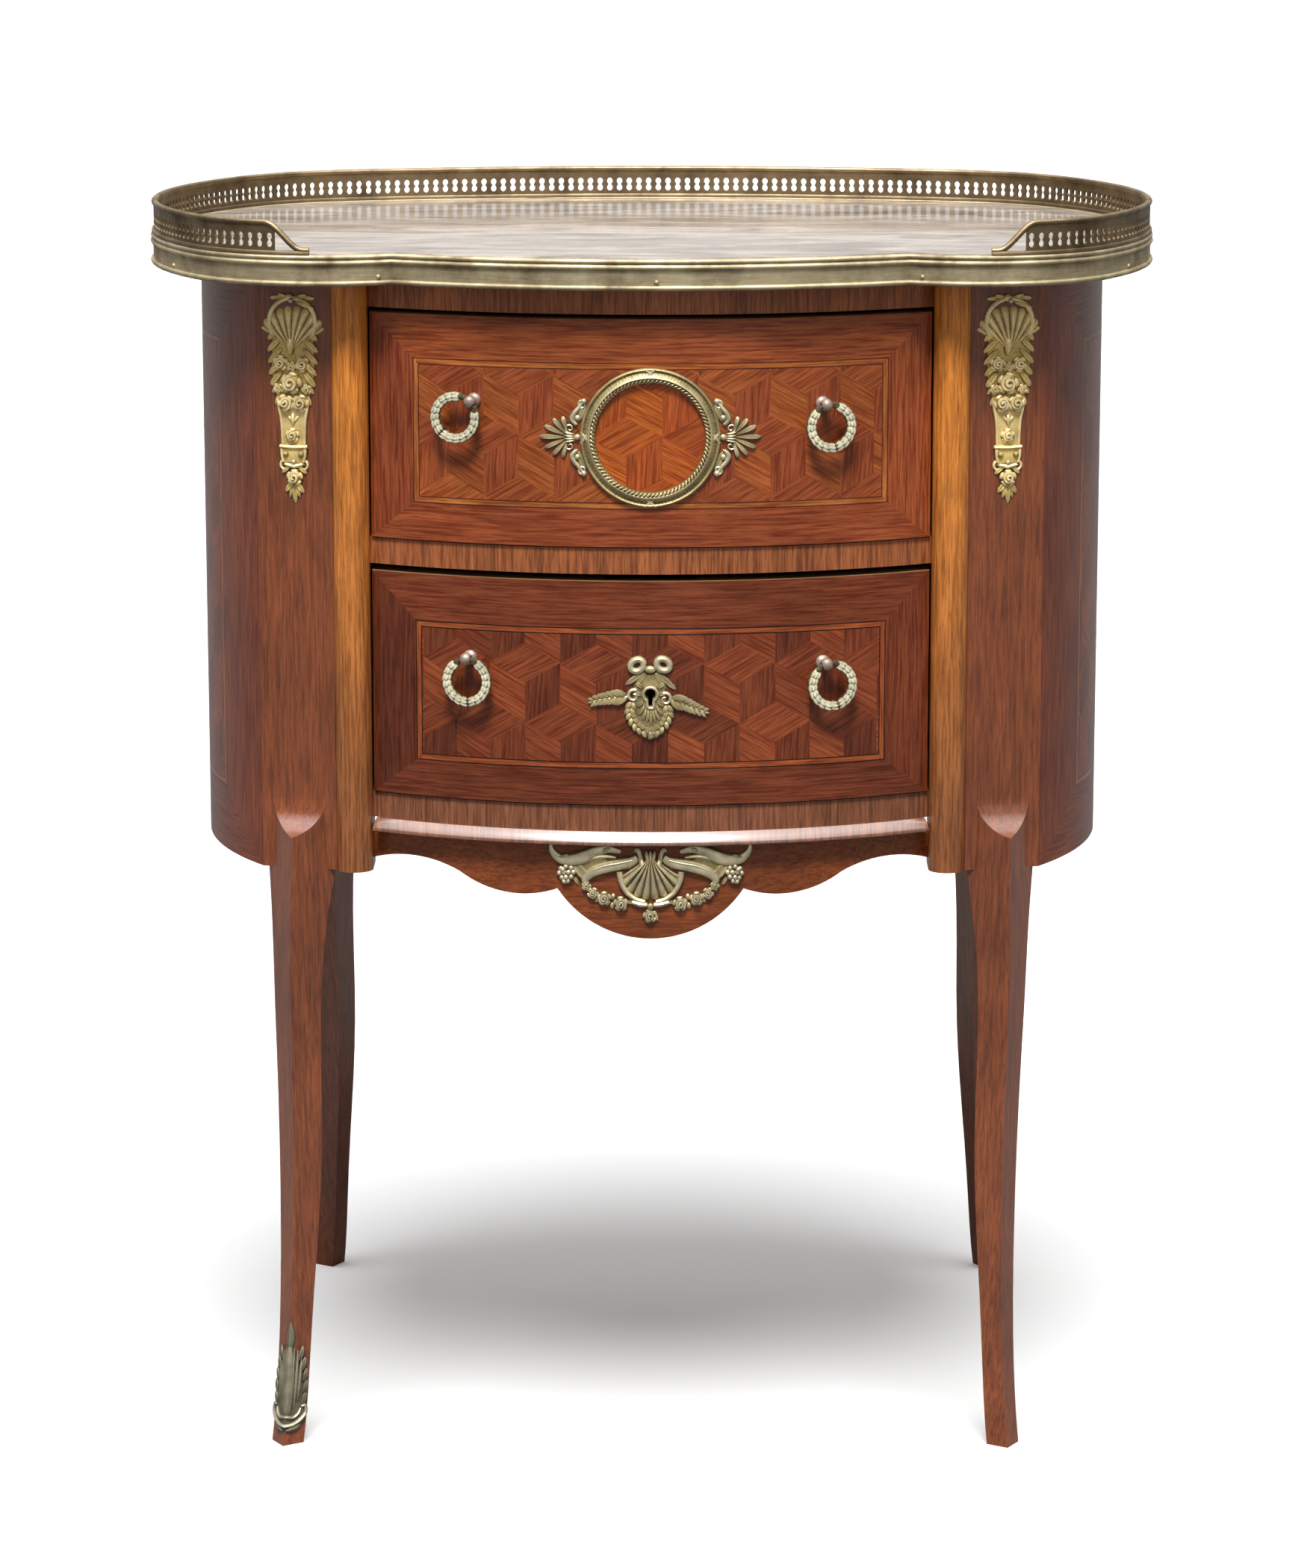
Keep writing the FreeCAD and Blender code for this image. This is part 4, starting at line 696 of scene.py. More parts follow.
def sheet(bm, columns, rows, place):
    """Grid bent by a rule: place(s, t) gives the point and its relief for shares of the width and height."""
    detail = new_mesh()
    layer = detail.verts.layers.float["relief"]
    made = bmesh.ops.create_grid(detail, x_segments=columns, y_segments=rows, size=1.0)["verts"]
    for vert in made:
        vert.co, vert[layer] = place((vert.co.x + 1) / 2, (vert.co.y + 1) / 2)
    bmesh.ops.remove_doubles(detail, verts=detail.verts[:], dist=0.001)
    join(bm, detail)


def smooth_path(points, widths, steps):
    """Points with widths along a smooth curve through the given points, closed to nothing at both ends."""
    path = []
    last = len(points) - 1
    for i in range(last):
        a, b, c, d = points[max(i - 1, 0)], points[i], points[i + 1], points[min(i + 2, last)]
        for step in range(steps):
            t = step / steps
            spot = (
                b * 2 + (c - a) * t + (a * 2 - b * 5 + c * 4 - d) * t ** 2 + (b * 3 - a - c * 3 + d) * t ** 3
            ) / 2
            path.append((spot, widths[i] + (widths[i + 1] - widths[i]) * t))
    path.append((points[last], widths[last]))
    return [(path[0][0], 0.0)] + path + [(path[-1][0], 0.0)]


def stem(bm, points, widths, flat=0.8, lift=0.0, sides=8, steps=5):
    """Tapering bar on the ground through points; flat is its height as a share of its width."""
    spots = [grounded(p) + Vector((0, 0, lift)) for p in points]
    path = smooth_path(spots, widths, steps)
    count = len(path) - 1

    def place(s, t):
        i = round(s * count)
        centre, width = path[i]
        along = path[min(i + 1, count)][0] - path[max(i - 1, 0)][0]
        side = Vector((-along.y, along.x, 0)).normalized()
        turn = 2 * math.pi * t
        height = flat * width * max(math.sin(turn), -0.3)
        return centre + side * (width / 2 * math.cos(turn)) + Vector((0, 0, height)), crest(math.sin(turn))

    sheet(bm, count, sides, place)


def lobe(bm, start, end, width, height, taper=0.6, point=0.0, crease=0.0, sides=10, rings=7):
    """Closed petal on the ground, narrow at its start; it may be pointed and creased along its middle."""
    detail = new_mesh()
    layer = detail.verts.layers.float["relief"]
    start, end = grounded(start), grounded(end)
    along = end - start
    side = Vector((-along.y, along.x, 0)).normalized()
    for vert in bmesh.ops.create_uvsphere(detail, u_segments=sides, v_segments=rings, radius=1.0)["verts"]:
        p = vert.co.copy()
        t = (p.z + 1) / 2
        fat = (1 - taper * (1 - t)) * (1 - point * t ** 3)
        rise = p.y
        if rise > 0:
            rise *= 1 - crease * max(0.0, 1 - abs(p.x) / 0.4)
        vert.co = start + along * t + side * (p.x * width / 2 * fat)
        vert.co.z += max(rise * height * fat, -0.25)
        # Each leaf is darker towards its base: painted shade where it lies under the tip of the leaf before
        vert[layer] = crest(rise / max(math.hypot(p.x, p.y), 0.05)) * (0.45 + 0.55 * t)
    join(bm, detail)


def ball(bm, centre, radius, squash=1.0, relief=1.0):
    """Round bead."""
    detail = new_mesh()
    layer = detail.verts.layers.float["relief"]
    middle = grounded(centre)
    for vert in bmesh.ops.create_icosphere(detail, subdivisions=2, radius=1.0)["verts"]:
        p = vert.co.copy()
        # The bead is darker towards its foot: partly dirt, partly painted shade where it meets the ground
        vert[layer] = relief * max(0.0, min(1.0, 0.1 + p.z))
        vert.co = middle + Vector((p.x, p.y, p.z * squash)) * radius
    join(bm, detail)


def rose(bm, centre, radius, turn=0.0):
    """Full rose: a domed body, a petal that winds up to the heart, and five outer petals."""
    middle = grounded(centre)
    ball(bm, middle, radius * 0.9, squash=0.5, relief=0.25)
    for k in range(5):
        way = polar(radius, turn + 2 * math.pi * k / 5)
        lobe(
            bm, middle + way * 0.4, middle + way, radius * 1.1, radius * 0.45, taper=0.2, sides=8, rings=6)
    shares = [k / 18 for k in range(19)]
    points = [
        middle + polar(radius * (0.66 - 0.56 * s), turn + 3.6 * math.pi * s, radius * (0.22 + 0.4 * s))
        for s in shares]
    stem(bm, points, [radius * (0.42 - 0.12 * s) for s in shares], sides=6, steps=2)


def leaf_row(bm, points, reach, width, height, gap, shrink=0.0):
    """Stem with pairs of leaves that point along it and get smaller towards its tip."""
    curve = smooth_path([Vector((*p, 0.4)) for p in points], [1.0] * len(points), 12)
    path = [step[0] for step in curve[1:-1]]
    stem(bm, points, [1.6] * len(points))
    since = gap
    for i, (a, b) in enumerate(zip(path, path[1:])):
        since += (b - a).length
        if since < gap:
            continue
        since -= gap
        way = (b - a).normalized()
        side = Vector((-way.y, way.x, 0))
        size = 1 - shrink * i / len(path)
        for hand in BOTH:
            root = a + side * hand * 0.3
            tip = a + (way * 0.86 + side * hand * 0.5) * reach * size + Vector((0, 0, 0.8))
            lobe(
                bm, root, tip, width * size, height * size, taper=0.35, point=0.5, crease=0.25, sides=8,
                rings=6)
    size = 1 - shrink
    tip = path[-1] + (path[-1] - path[-5]).normalized() * reach * size * 0.7
    lobe(bm, path[-3], tip, width * size, height * size, taper=0.3, point=0.6)


def shell(bm, hinge, reach, spread, ribs, height, facing, dish):
    """Scallop shell: ribs that fan out of a hinge; a dish sinks its outer part."""
    half = math.radians(spread)

    def place(s, t):
        under = t > 0.5
        way = 2 * (1 - t) if under else 2 * t
        rib = abs(math.cos(ribs * math.pi * s)) ** 0.8
        angle = facing + half * (2 * s - 1)
        radius = reach * way * (1 + 0.06 * rib * way - 0.1 * (2 * s - 1) ** 2)
        dome = (0.5 + 0.5 * math.sin(math.pi * min(way * 1.05, 1.0))) * (1 - dish * way ** 2)
        edge = min(1.0, 8 * min(s, 1 - s)) * min(1.0, 10 * (1.0001 - way))
        rise = -0.3 if under else -0.3 + (height * dome * (0.45 + 0.55 * rib) + 0.3) * edge ** 0.5
        # Grooves between the ribs and the dished part get a lower relief: partly dirt, partly painted shade
        # in the hollow
        relief = 0.0 if under else (0.15 + 0.85 * rib) * (0.6 + 0.4 * dome) * (1 - 0.5 * dish * way)
        return grounded(hinge) + polar(radius, angle, rise), relief

    sheet(bm, ribs * 6, 24, place)


def plate(bm, outline, thickness, relief):
    """Flat plate on an outline, with a chamfered upper edge."""
    detail = new_mesh()
    layer = detail.verts.layers.float["relief"]
    base = detail.faces.new([detail.verts.new((x, y, -0.3)) for x, y in outline])
    top = bmesh.ops.extrude_face_region(detail, geom=[base])["geom"]
    verts = [item for item in top if isinstance(item, bmesh.types.BMVert)]
    faces = [item for item in top if isinstance(item, bmesh.types.BMFace)]
    bmesh.ops.translate(detail, verts=verts, vec=(0, 0, thickness + 0.3))
    edges = list({edge for face in faces for edge in face.edges})
    bmesh.ops.bevel(
        detail, geom=edges, offset=0.6, offset_type="OFFSET", segments=2, profile=0.5, affect="EDGES",
        material=-1)
    for vert in detail.verts:
        vert[layer] = relief if vert.co.z > 0 else 0.0
    join(bm, detail)


def volute(bm, centre, radius, width, start, turns, hand):
    """Spiral scroll that winds inwards from an angle."""
    shares = [k / 12 for k in range(13)]
    points = [
        grounded(centre) + polar(radius * (1 - 0.78 * s), start + hand * 2 * math.pi * turns * s, 0.5 * s)
        for s in shares]
    stem(bm, points, [width * (1 - 0.45 * s) for s in shares], steps=2)


def swept(bm, path, profile):
    """Bar with a closed section along a path of (centre, side, up, scale); scale 0 closes an end."""
    count, sides = len(path) - 1, len(profile)

    def place(s, t):
        centre, side, up, scale = path[round(s * count)]
        a, b = profile[round(t * sides) % sides]
        return centre + (side * a + up * b) * scale, 0.7

    sheet(bm, count, sides, place)


def turned(bm, profile, axis, side, place):
    """Turned detail: a section of distances from an axis and places along it, laid on the part by a rule."""
    detail = new_mesh()
    verts = [detail.verts.new(Vector(side) * reach + Vector(axis) * along) for reach, along in profile]
    edges = [detail.edges.new(pair) for pair in zip(verts, verts[1:])]
    bmesh.ops.spin(
        detail, geom=verts + edges, cent=(0, 0, 0), axis=axis, dvec=(0, 0, 0), angle=2 * math.pi, steps=24,
        use_merge=True, use_duplicate=False)
    bmesh.ops.remove_doubles(detail, verts=detail.verts[:], dist=0.001)
    for vert in detail.verts:
        vert.co = place(vert.co)
    join(bm, detail)


def in_place(p):
    """Rule for a piece that is modelled where it belongs."""
    return p * MM


def on_bow(radius, low):
    """Rule that lays a flat ornament on the bowed front, from a level upwards."""

    def place(p):
        turn = p.x / BOW_RADIUS
        reach = radius + p.z
        return Vector((reach * math.sin(turn), BOW_CENTRE_Y - reach * math.cos(turn), low + p.y)) * MM

    return place


def on_side(hand, low):
    """Rule that lays a flat veneer on the right (1) or left (-1) side of the case, from a level upwards."""

    def place(p):
        turn = p.x / SIDE_RADIUS
        reach = SIDE_RADIUS + p.z
        across = SIDE_CENTRE_X + reach * math.cos(turn)
        return Vector((hand * across, hand * reach * math.sin(turn), low + p.y)) * MM

    return place


def on_post(hand):
    """Rule that lays a flat ornament on the front right (1) or front left (-1) post."""

    def place(p):
        x = POST_X + p.x * hand * math.cos(POST_TURN) + p.z * math.sin(POST_TURN)
        y = POST_Y + p.x * hand * math.sin(POST_TURN) - p.z * math.cos(POST_TURN)
        return Vector((hand * x, y, CHUTE_TOP + p.y)) * MM

    return place


def on_foot(p):
    """Lays a flat ornament, folded at the arris, on the two front faces of the front left foot."""
    i = 0
    while i < len(FOOT_LEVELS) - 2 and p.y > FOOT_LEVELS[i + 1]:
        i += 1
    share = (p.y - FOOT_LEVELS[i]) / (FOOT_LEVELS[i + 1] - FOOT_LEVELS[i])
    corners = zip(FOOT_SECTIONS[i], FOOT_SECTIONS[i + 1])
    left, arris, right = [below.lerp(above, share) for below, above in corners]
    to_left = (left - arris).normalized()
    to_right = (right - arris).normalized()
    blend = max(0.0, min(1.0, 0.5 + p.x / 4))
    out = -(to_right * (1 - blend) + to_left * blend).normalized()
    spot = arris + (to_right * p.x if p.x > 0 else to_left * -p.x) + out * p.z
    return Vector((spot.x, spot.y, p.y)) * MM


def on_ring(name, at_eye=False):
    """Rule that lays a flat ornament on a ring pull, about the ring's middle or about its eye."""
    low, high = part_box(name)
    joint = next(j for j in frame["joints"] if j["child"] == name + "_pull")
    middle, eye, along = (low + high) / 2, Vector(joint["pos_m"]), Vector(joint["axis"]).normalized()
    down = middle - eye
    down = (down - along * down.dot(along)).normalized()
    out = down.cross(along)
    if out.y > 0:
        along, out = -along, -out
    origin = eye if at_eye else middle

    def place(p):
        return origin + (along * p.x - down * p.y + out * p.z) * MM

    return place


def make_piece(name, bm, place, finish, body, nodes, sharp=40):
    """Finished piece: laid on the part by a rule, smoothed, and riding its body in place of its nodes."""
    if place:
        for vert in bm.verts:
            vert.co = place(vert.co)
    bmesh.ops.recalc_face_normals(bm, faces=bm.faces[:])
    mesh = bpy.data.meshes.new(name)
    bm.to_mesh(mesh)
    bm.free()
    mesh.polygons.foreach_set("use_smooth", [True] * len(mesh.polygons))
    mesh.set_sharp_from_angle(angle=math.radians(sharp))
    mesh.materials.append(material(finish))
    piece = bpy.data.objects.new(name, mesh)
    bpy.context.scene.collection.objects.link(piece)
    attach(piece, body)
    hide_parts(*nodes)
    return piece


class NIGHTSTAND_OT_frame_finishes(bpy.types.Operator):
    """Gives the frame's own pieces their finishes"""

    bl_idname = "nightstand.frame_finishes"
    bl_label = "Frame finishes"

    def execute(self, context):
        for finish, names in FRAME_FINISHES.items():
            for name in names:
                slots = frame["nodes"][name].data.materials
                slots.clear()
                slots.append(material(finish))
        return {"FINISHED"}


def inside(spot, box):
    """Whether a place is inside a box of left, right, low and high."""
    return box[0] < spot.x < box[1] and box[2] < spot.y < box[3]


def cut(bm, spot, normal, wanted=None):
    """Cuts the faces of a flat panel along a line; wanted picks the faces by their middles."""
    faces = [f for f in bm.faces if wanted is None or wanted(f.calc_center_median())]
    edges = {e for f in faces for e in f.edges}
    verts = {v for f in faces for v in f.verts}
    bmesh.ops.bisect_plane(
        bm, geom=faces + list(edges) + list(verts), dist=0.0001, plane_co=(*spot, 0),
        plane_no=Vector((*normal, 0)).normalized())


def cut_box(bm, left, right, low, high):
    """Cuts a flat panel along the four lines of a box."""
    for x in (left, right):
        cut(bm, (x, 0), (1, 0))
    for y in (low, high):
        cut(bm, (0, y), (0, 1))


class Panel:
    """Layout of a veneered panel in its flat frame: cubes of three rhombs, a string round them and a border.

    String box is the string's outer box, lattice the place of one cube's middle.
    """

    def __init__(self, name, half, height, string_box, lattice, opening=None):
        sizes = bpy.context.scene.nightstand_sizes
        line, string = sizes.line_width / MM, sizes.string_width / MM
        self.name, self.half, self.height = name, half, height
        self.box, self.lattice, self.opening = string_box, lattice, opening
        self.width, self.side = sizes.rhomb_width / MM, sizes.rhomb_side / MM
        self.slope = self.side / 2 / self.width
        self.insets = (0.0, line, line + string, 2 * line + string)
        self.field = self.inset_box(self.insets[-1])

    def inset_box(self, inset):
        """String box made smaller all round."""
        left, right, low, high = self.box
        return left + inset, right - inset, low + inset, high - inset

    def cut_frame(self, bm):
        """Cuts the lines of the string, the opening and the mitres of the border."""
        for inset in self.insets:
            cut_box(bm, *self.inset_box(inset))
        if self.opening:
            cut_box(bm, *self.opening)
            hole = [f for f in bm.faces if inside(f.calc_center_median(), self.opening)]
            bmesh.ops.delete(bm, geom=hole, context="FACES")
        left, right, low, high = self.box
        for x, edge_x in ((-self.half, left), (self.half, right)):
            for y, edge_y in ((0.0, low), (self.height, high)):
                corner = (min(x, edge_x), max(x, edge_x), min(y, edge_y), max(y, edge_y))
                cut(bm, (x, y), (edge_y - y, x - edge_x), lambda spot, corner=corner: inside(spot, corner))

    def cut_cubes(self, bm):
        """Cuts the sloping sides of the rhombs, and upright lines at which the panel can bend."""
        x, y = self.lattice
        reach = math.ceil((self.height + self.half * self.slope * 2) / self.side) + 1
        for k in range(-reach, reach + 1):
            for way in (self.slope, -self.slope):
                cut(bm, (x, y + k * self.side), (way, 1), lambda spot: inside(spot, self.field))
        step = self.width / 3
        for k in range(math.floor((-self.half - x) / step), math.ceil((self.half - x) / step) + 1):
            cut(bm, (x + k * step, 0), (1, 0))

    def cube_at(self, spot):
        """Row and column of the cube round a place, and the place as seen from the cube's middle."""
        nearest = []
        for row in range(-12, 13):
            y = self.lattice[1] + row * 1.5 * self.side
            if abs(spot.y - y) <= 1.5 * self.side:
                shift = self.lattice[0] + (row % 2) * self.width
                column = round((spot.x - shift) / (2 * self.width))
                dx, dy = spot.x - shift - column * 2 * self.width, spot.y - y
                far = max(abs(dx) / self.width, (abs(dy) + abs(dx) * self.slope) / self.side)
                nearest.append((far, row, column, dx, dy))
        return min(nearest)[1:]

    def veneer_at(self, spot):
        """Key of the piece of veneer at a place, its kind and the way of its grain."""
        if inside(spot, self.field):
            row, column, dx, dy = self.cube_at(spot)
            kind = "top" if dy > abs(dx) * self.slope else "left" if dx < 0 else "right"
            along = {"top": (1, self.slope), "left": (1, -self.slope), "right": (0.06, 1)}[kind]
            return f"{self.name} {row} {column} {kind}", kind, along
        left, right, low, high = self.box
        shares = {
            "left border": (left - spot.x) / (self.half + left),
            "right border": (spot.x - right) / (self.half - right),
            "low border": (low - spot.y) / low,
            "high border": (spot.y - high) / (self.height - high),
        }
        edge = kind = max(shares, key=shares.get)
        along = (0, 1) if edge in ("left border", "right border") else (1, 0)
        if inside(spot, self.box):
            depth = min(spot.x - left, right - spot.x, spot.y - low, high - spot.y)
            kind = "string" if self.insets[1] < depth < self.insets[2] else "line"
        return self.name + edge, kind, along


def parquetry(panel, tints, place, body, node):
    """Veneered panel cut into its pieces, each with a tint and grain of its own."""
    bm = bmesh.new()
    tint = bm.faces.layers.float.new("tint")
    grain = bm.loops.layers.uv.new("grain")
    bmesh.ops.create_grid(bm, x_segments=1, y_segments=1, size=0.5)
    bmesh.ops.translate(bm, verts=bm.verts[:], vec=(0, 0.5, 0))
    bmesh.ops.scale(bm, verts=bm.verts[:], vec=(2 * panel.half, panel.height, 1))
    panel.cut_frame(bm)
    panel.cut_cubes(bm)
    for face in bm.faces:
        key, kind, along = panel.veneer_at(face.calc_center_median())
        luck = random.Random(key)
        middle, spread = tints[kind]
        face[tint] = middle + spread * luck.uniform(-1, 1)
        shift = Vector((luck.uniform(0, 900), luck.uniform(0, 900)))
        way = Vector(along).normalized()
        for loop in face.loops:
            p = loop.vert.co
            spot = Vector((p.x * way.x + p.y * way.y, p.y * way.x - p.x * way.y))
            loop[grain].uv = (spot + shift) * MM
    back = bmesh.ops.extrude_face_region(bm, geom=bm.faces[:])["geom"]
    moved = [item for item in back if isinstance(item, bmesh.types.BMVert)]
    bmesh.ops.translate(bm, verts=moved, vec=(0, 0, -VENEER))
    return make_piece(panel.name, bm, place, "rosewood_parquetry", body, [node], sharp=60)


# Tints of the veneer: middle and spread, from 0 for the dark lines to 1 for the light string
# The drawers' left border has a lower tint than the other borders: painted shade
DRAWER_TINTS = {
    "top": (0.54, 0.09), "left": (0.6, 0.08), "right": (0.46, 0.07), "line": (0.08, 0.0),
    "string": (0.82, 0.05), "left border": (0.4, 0.0), "right border": (0.5, 0.0), "low border": (0.46, 0.0),
    "high border": (0.52, 0.0),
}
SIDE_TINTS = {
    "top": (0.4, 0.08), "left": (0.46, 0.06), "right": (0.3, 0.06), "line": (0.05, 0.0),
    "string": (0.8, 0.05), "left border": (0.34, 0.0), "right border": (0.36, 0.0), "low border": (0.34, 0.0),
    "high border": (0.3, 0.0),
}
# The upper drawer's veneer is painted a little lighter and the lower one's much darker: painted light and
# shade for light that falls off downwards
UPPER_PAINTED_LIGHT = 0.04
LOWER_PAINTED_SHADE = -0.21

# String boxes of the drawers as half widths and levels, cubes' middles, and borders of the side panels
UPPER_STRING = (145.65, 579.5, 666.6)
LOWER_STRING = (145.1, 422.9, 508.4)
UPPER_LATTICE = (-100.26, 610.43)
LOWER_LATTICE = (-75.42, 474.25)
SIDE_STRING_HALF = 93.0
SIDE_BORDER = 40.0
KEYHOLE_BOX = (-KEYHOLE_EYE, KEYHOLE_EYE, KEYHOLE_Z - 8.5, KEYHOLE_Z + KEYHOLE_EYE)


class NIGHTSTAND_OT_drawer_veneers(bpy.types.Operator):
    """Lays the cube parquetry on both drawer fronts"""

    bl_idname = "nightstand.drawer_veneers"
    bl_label = "Drawer veneers"

    def execute(self, context):
        half = BOW_RADIUS * math.asin(DRAWER_HALF / BOW_RADIUS)
        for level, (low, high), string, lattice, opening, tone in (
            ("upper", UPPER_DRAWER, UPPER_STRING, UPPER_LATTICE, None, UPPER_PAINTED_LIGHT),
            ("lower", LOWER_DRAWER, LOWER_STRING, LOWER_LATTICE, KEYHOLE_BOX, LOWER_PAINTED_SHADE),
        ):
            # The upper drawer's tints are shifted up as painted light, the lower drawer's down as painted
            # shade
            tints = {kind: (tint + tone, spread) for kind, (tint, spread) in DRAWER_TINTS.items()}
            box = (-string[0], string[0], string[1] - low, string[2] - low)
            if opening:
                opening = (*opening[:2], opening[2] - low, opening[3] - low)
            panel = Panel(
                f"{level}_parquetry", half, high - low, box, (lattice[0], lattice[1] - low), opening)
            parquetry(
                panel, tints, on_bow(BOW_RADIUS, low), f"{level}_drawer",
                f"{level}_drawer_veneer")
        return {"FINISHED"}


class NIGHTSTAND_OT_side_veneers(bpy.types.Operator):
    """Lays the parquetry on both sides of the case"""

    bl_idname = "nightstand.side_veneers"
    bl_label = "Side veneers"

    def execute(self, context):
        half = SIDE_RADIUS * math.asin(SIDE_HALF / SIDE_RADIUS)
        for side, hand in SIDES:
            node = f"{side}_side_veneer"
            low, high = span(node, Z)
            height = high - low
            box = (-SIDE_STRING_HALF, SIDE_STRING_HALF, SIDE_BORDER, height - SIDE_BORDER)
            panel = Panel(f"{side}_side_parquetry", half, height, box, (0.0, height / 2))
            parquetry(panel, SIDE_TINTS, on_side(hand, low), "carcass", node)
        return {"FINISHED"}


def nosing_profile():
    """Section of the bottom moulding as radii and levels: a small round nose, a swelling slope above it."""
    nose_top = MOULDING_LOW + 1.6
    rise = MOULDING_HIGH - nose_top
    fall = NOSE_RADIUS - BOW_RADIUS
    nose = [
        (NOSE_RADIUS - 1.2, MOULDING_LOW), (NOSE_RADIUS - 0.2, MOULDING_LOW + 0.6), (NOSE_RADIUS, nose_top),
    ]
    shares = [k / 6 for k in range(1, 7)]
    slope = [(NOSE_RADIUS - fall * s + 0.5 * math.sin(math.pi * s), nose_top + rise * s) for s in shares]
    return [(RAIL_INNER, MOULDING_LOW)] + nose + slope + [(RAIL_INNER, MOULDING_HIGH)]


class NIGHTSTAND_OT_bottom_moulding(bpy.types.Operator):
    """Makes the rounded moulding under the lower drawer"""

    bl_idname = "nightstand.bottom_moulding"
    bl_label = "Bottom moulding"

    def execute(self, context):
        turn = math.asin(OPENING_HALF / NOSE_RADIUS)
        bm = new_mesh()
        way = Vector((-math.sin(turn), -math.cos(turn), 0))
        middle = Vector((0, BOW_CENTRE_Y, 0))
        section = [middle + way * radius + Vector((0, 0, z)) for radius, z in nosing_profile()]
        face = bm.faces.new([bm.verts.new(spot) for spot in section])
        bmesh.ops.spin(
            bm, geom=[face] + face.edges[:] + face.verts[:], cent=middle, axis=(0, 0, 1), dvec=(0, 0, 0),
            angle=2 * turn, steps=48, use_merge=False, use_duplicate=False)
        make_piece(
            "bottom_nosing", bm, in_place, "rosewood_moulding", "carcass", ["bottom_moulding"])
        return {"FINISHED"}


def bearing(start, end):
    """Angle of the way from one place in the plan to another."""
    return math.atan2(end[1] - start[1], end[0] - start[0])


def rim_outline(offset, fine=1):
    """Right half of the rim's plan at an offset, from the front middle round to the back middle."""
    kink = meeting(RIM_BOW[0], RIM_BOW[1] + offset, RIM_LOBE[0], RIM_LOBE[1] + offset)[0]
    to_end = bearing(END_CENTRE, LOBE_CENTRE)
    to_corner = bearing(END_CENTRE, CORNER_CENTRE)
    to_back = bearing(BACK_CENTRE, CORNER_CENTRE)
    arcs = (
        (RIM_BOW, -math.pi / 2, bearing(RIM_BOW[0], kink), 20),
        (RIM_LOBE, bearing(LOBE_CENTRE, kink), to_end, 16),
        (RIM_END, to_end, to_corner, 16),
        (RIM_CORNER, to_corner, to_back, 8),
        (RIM_BACK, to_back, math.pi / 2, 12),
    )
    points = []
    for (centre, radius), start, end, count in arcs:
        for k in range(count * fine):
            turn = start + (end - start) * k / (count * fine)
            points.append(Vector(centre[:2]) + polar(radius + offset, turn).xy)
    points.append(Vector((0, offset - RIM_FRONT)))
    return points


def rim_profile():
    """Section of the rim as offsets from its plan and levels: a bead, a plain fascia, two reeds above."""
    foot = [(-RIM_WALL, CASE_TOP), (-REED, CASE_TOP)]
    bead = arc_points((-1.7, CASE_TOP + REED), REED, -75, 75, 8)
    fascia = [(-FASCIA_SET_BACK, CASE_TOP + 2 * REED), (-FASCIA_SET_BACK, RIM_TOP - 4 * REED)]
    lower_reed = arc_points((-1.7, RIM_TOP - 4.9), REED, -70, 62, 7)
    upper_reed = arc_points((-1.9, RIM_TOP - REED), REED, -62, 90, 8)
    lip = [(-5.0, RIM_TOP), (-5.6, RIM_TOP - 0.6), (-RIM_WALL, RIM_TOP - 0.6)]
    return foot + bead + fascia + lower_reed + upper_reed + lip


def rim_band(bm):
    """Closed band of brass round the marble."""
    sections = []
    for offset, level in rim_profile():
        right = rim_outline(offset)
        sections.append((right + [Vector((-p.x, p.y)) for p in right[-2:0:-1]], level))
    around, sides = len(sections[0][0]), len(sections)

    def place(s, t):
        outline, level = sections[round(t * sides) % sides]
        return Vector((*outline[round(s * around) % around], level)), 0.7

    sheet(bm, around, sides, place)


def rim_nail(bm, arc, degrees, hand):
    """Domed nail head on the fascia."""
    (x, y), radius = arc
    turn = math.radians(degrees)
    out = Vector((hand * math.cos(turn), math.sin(turn), 0))
    side = Vector((-out.y, out.x, 0))
    spot = Vector((hand * x, y, CASE_TOP + NAIL_ABOVE_CASE)) + out * (radius - NAIL_SET_BACK)
    for vert in bmesh.ops.create_uvsphere(bm, u_segments=14, v_segments=8, radius=1.0)["verts"]:
        p = vert.co.copy()
        flat = side * p.x * NAIL_RADIUS + Vector((0, 0, p.y * NAIL_RADIUS))
        vert.co = spot + flat + out * max(p.z, -0.2) * NAIL_RISE


class NIGHTSTAND_OT_rim(bpy.types.Operator):
    """Makes the brass rim round the marble, and its nails"""

    bl_idname = "nightstand.rim"
    bl_label = "Brass rim"

    def execute(self, context):
        bm = new_mesh()
        rim_band(bm)
        make_piece("brass_rim", bm, in_place, "lacquered_brass", "carcass", ["rim_moulding"])
        bm = new_mesh()
        for arc, degrees, hands in RIM_NAILS:
            for hand in hands:
                rim_nail(bm, arc, degrees, hand)
        make_piece("rim_nail_heads", bm, in_place, "lacquered_brass", "carcass", ["rim_nails"])
        return {"FINISHED"}


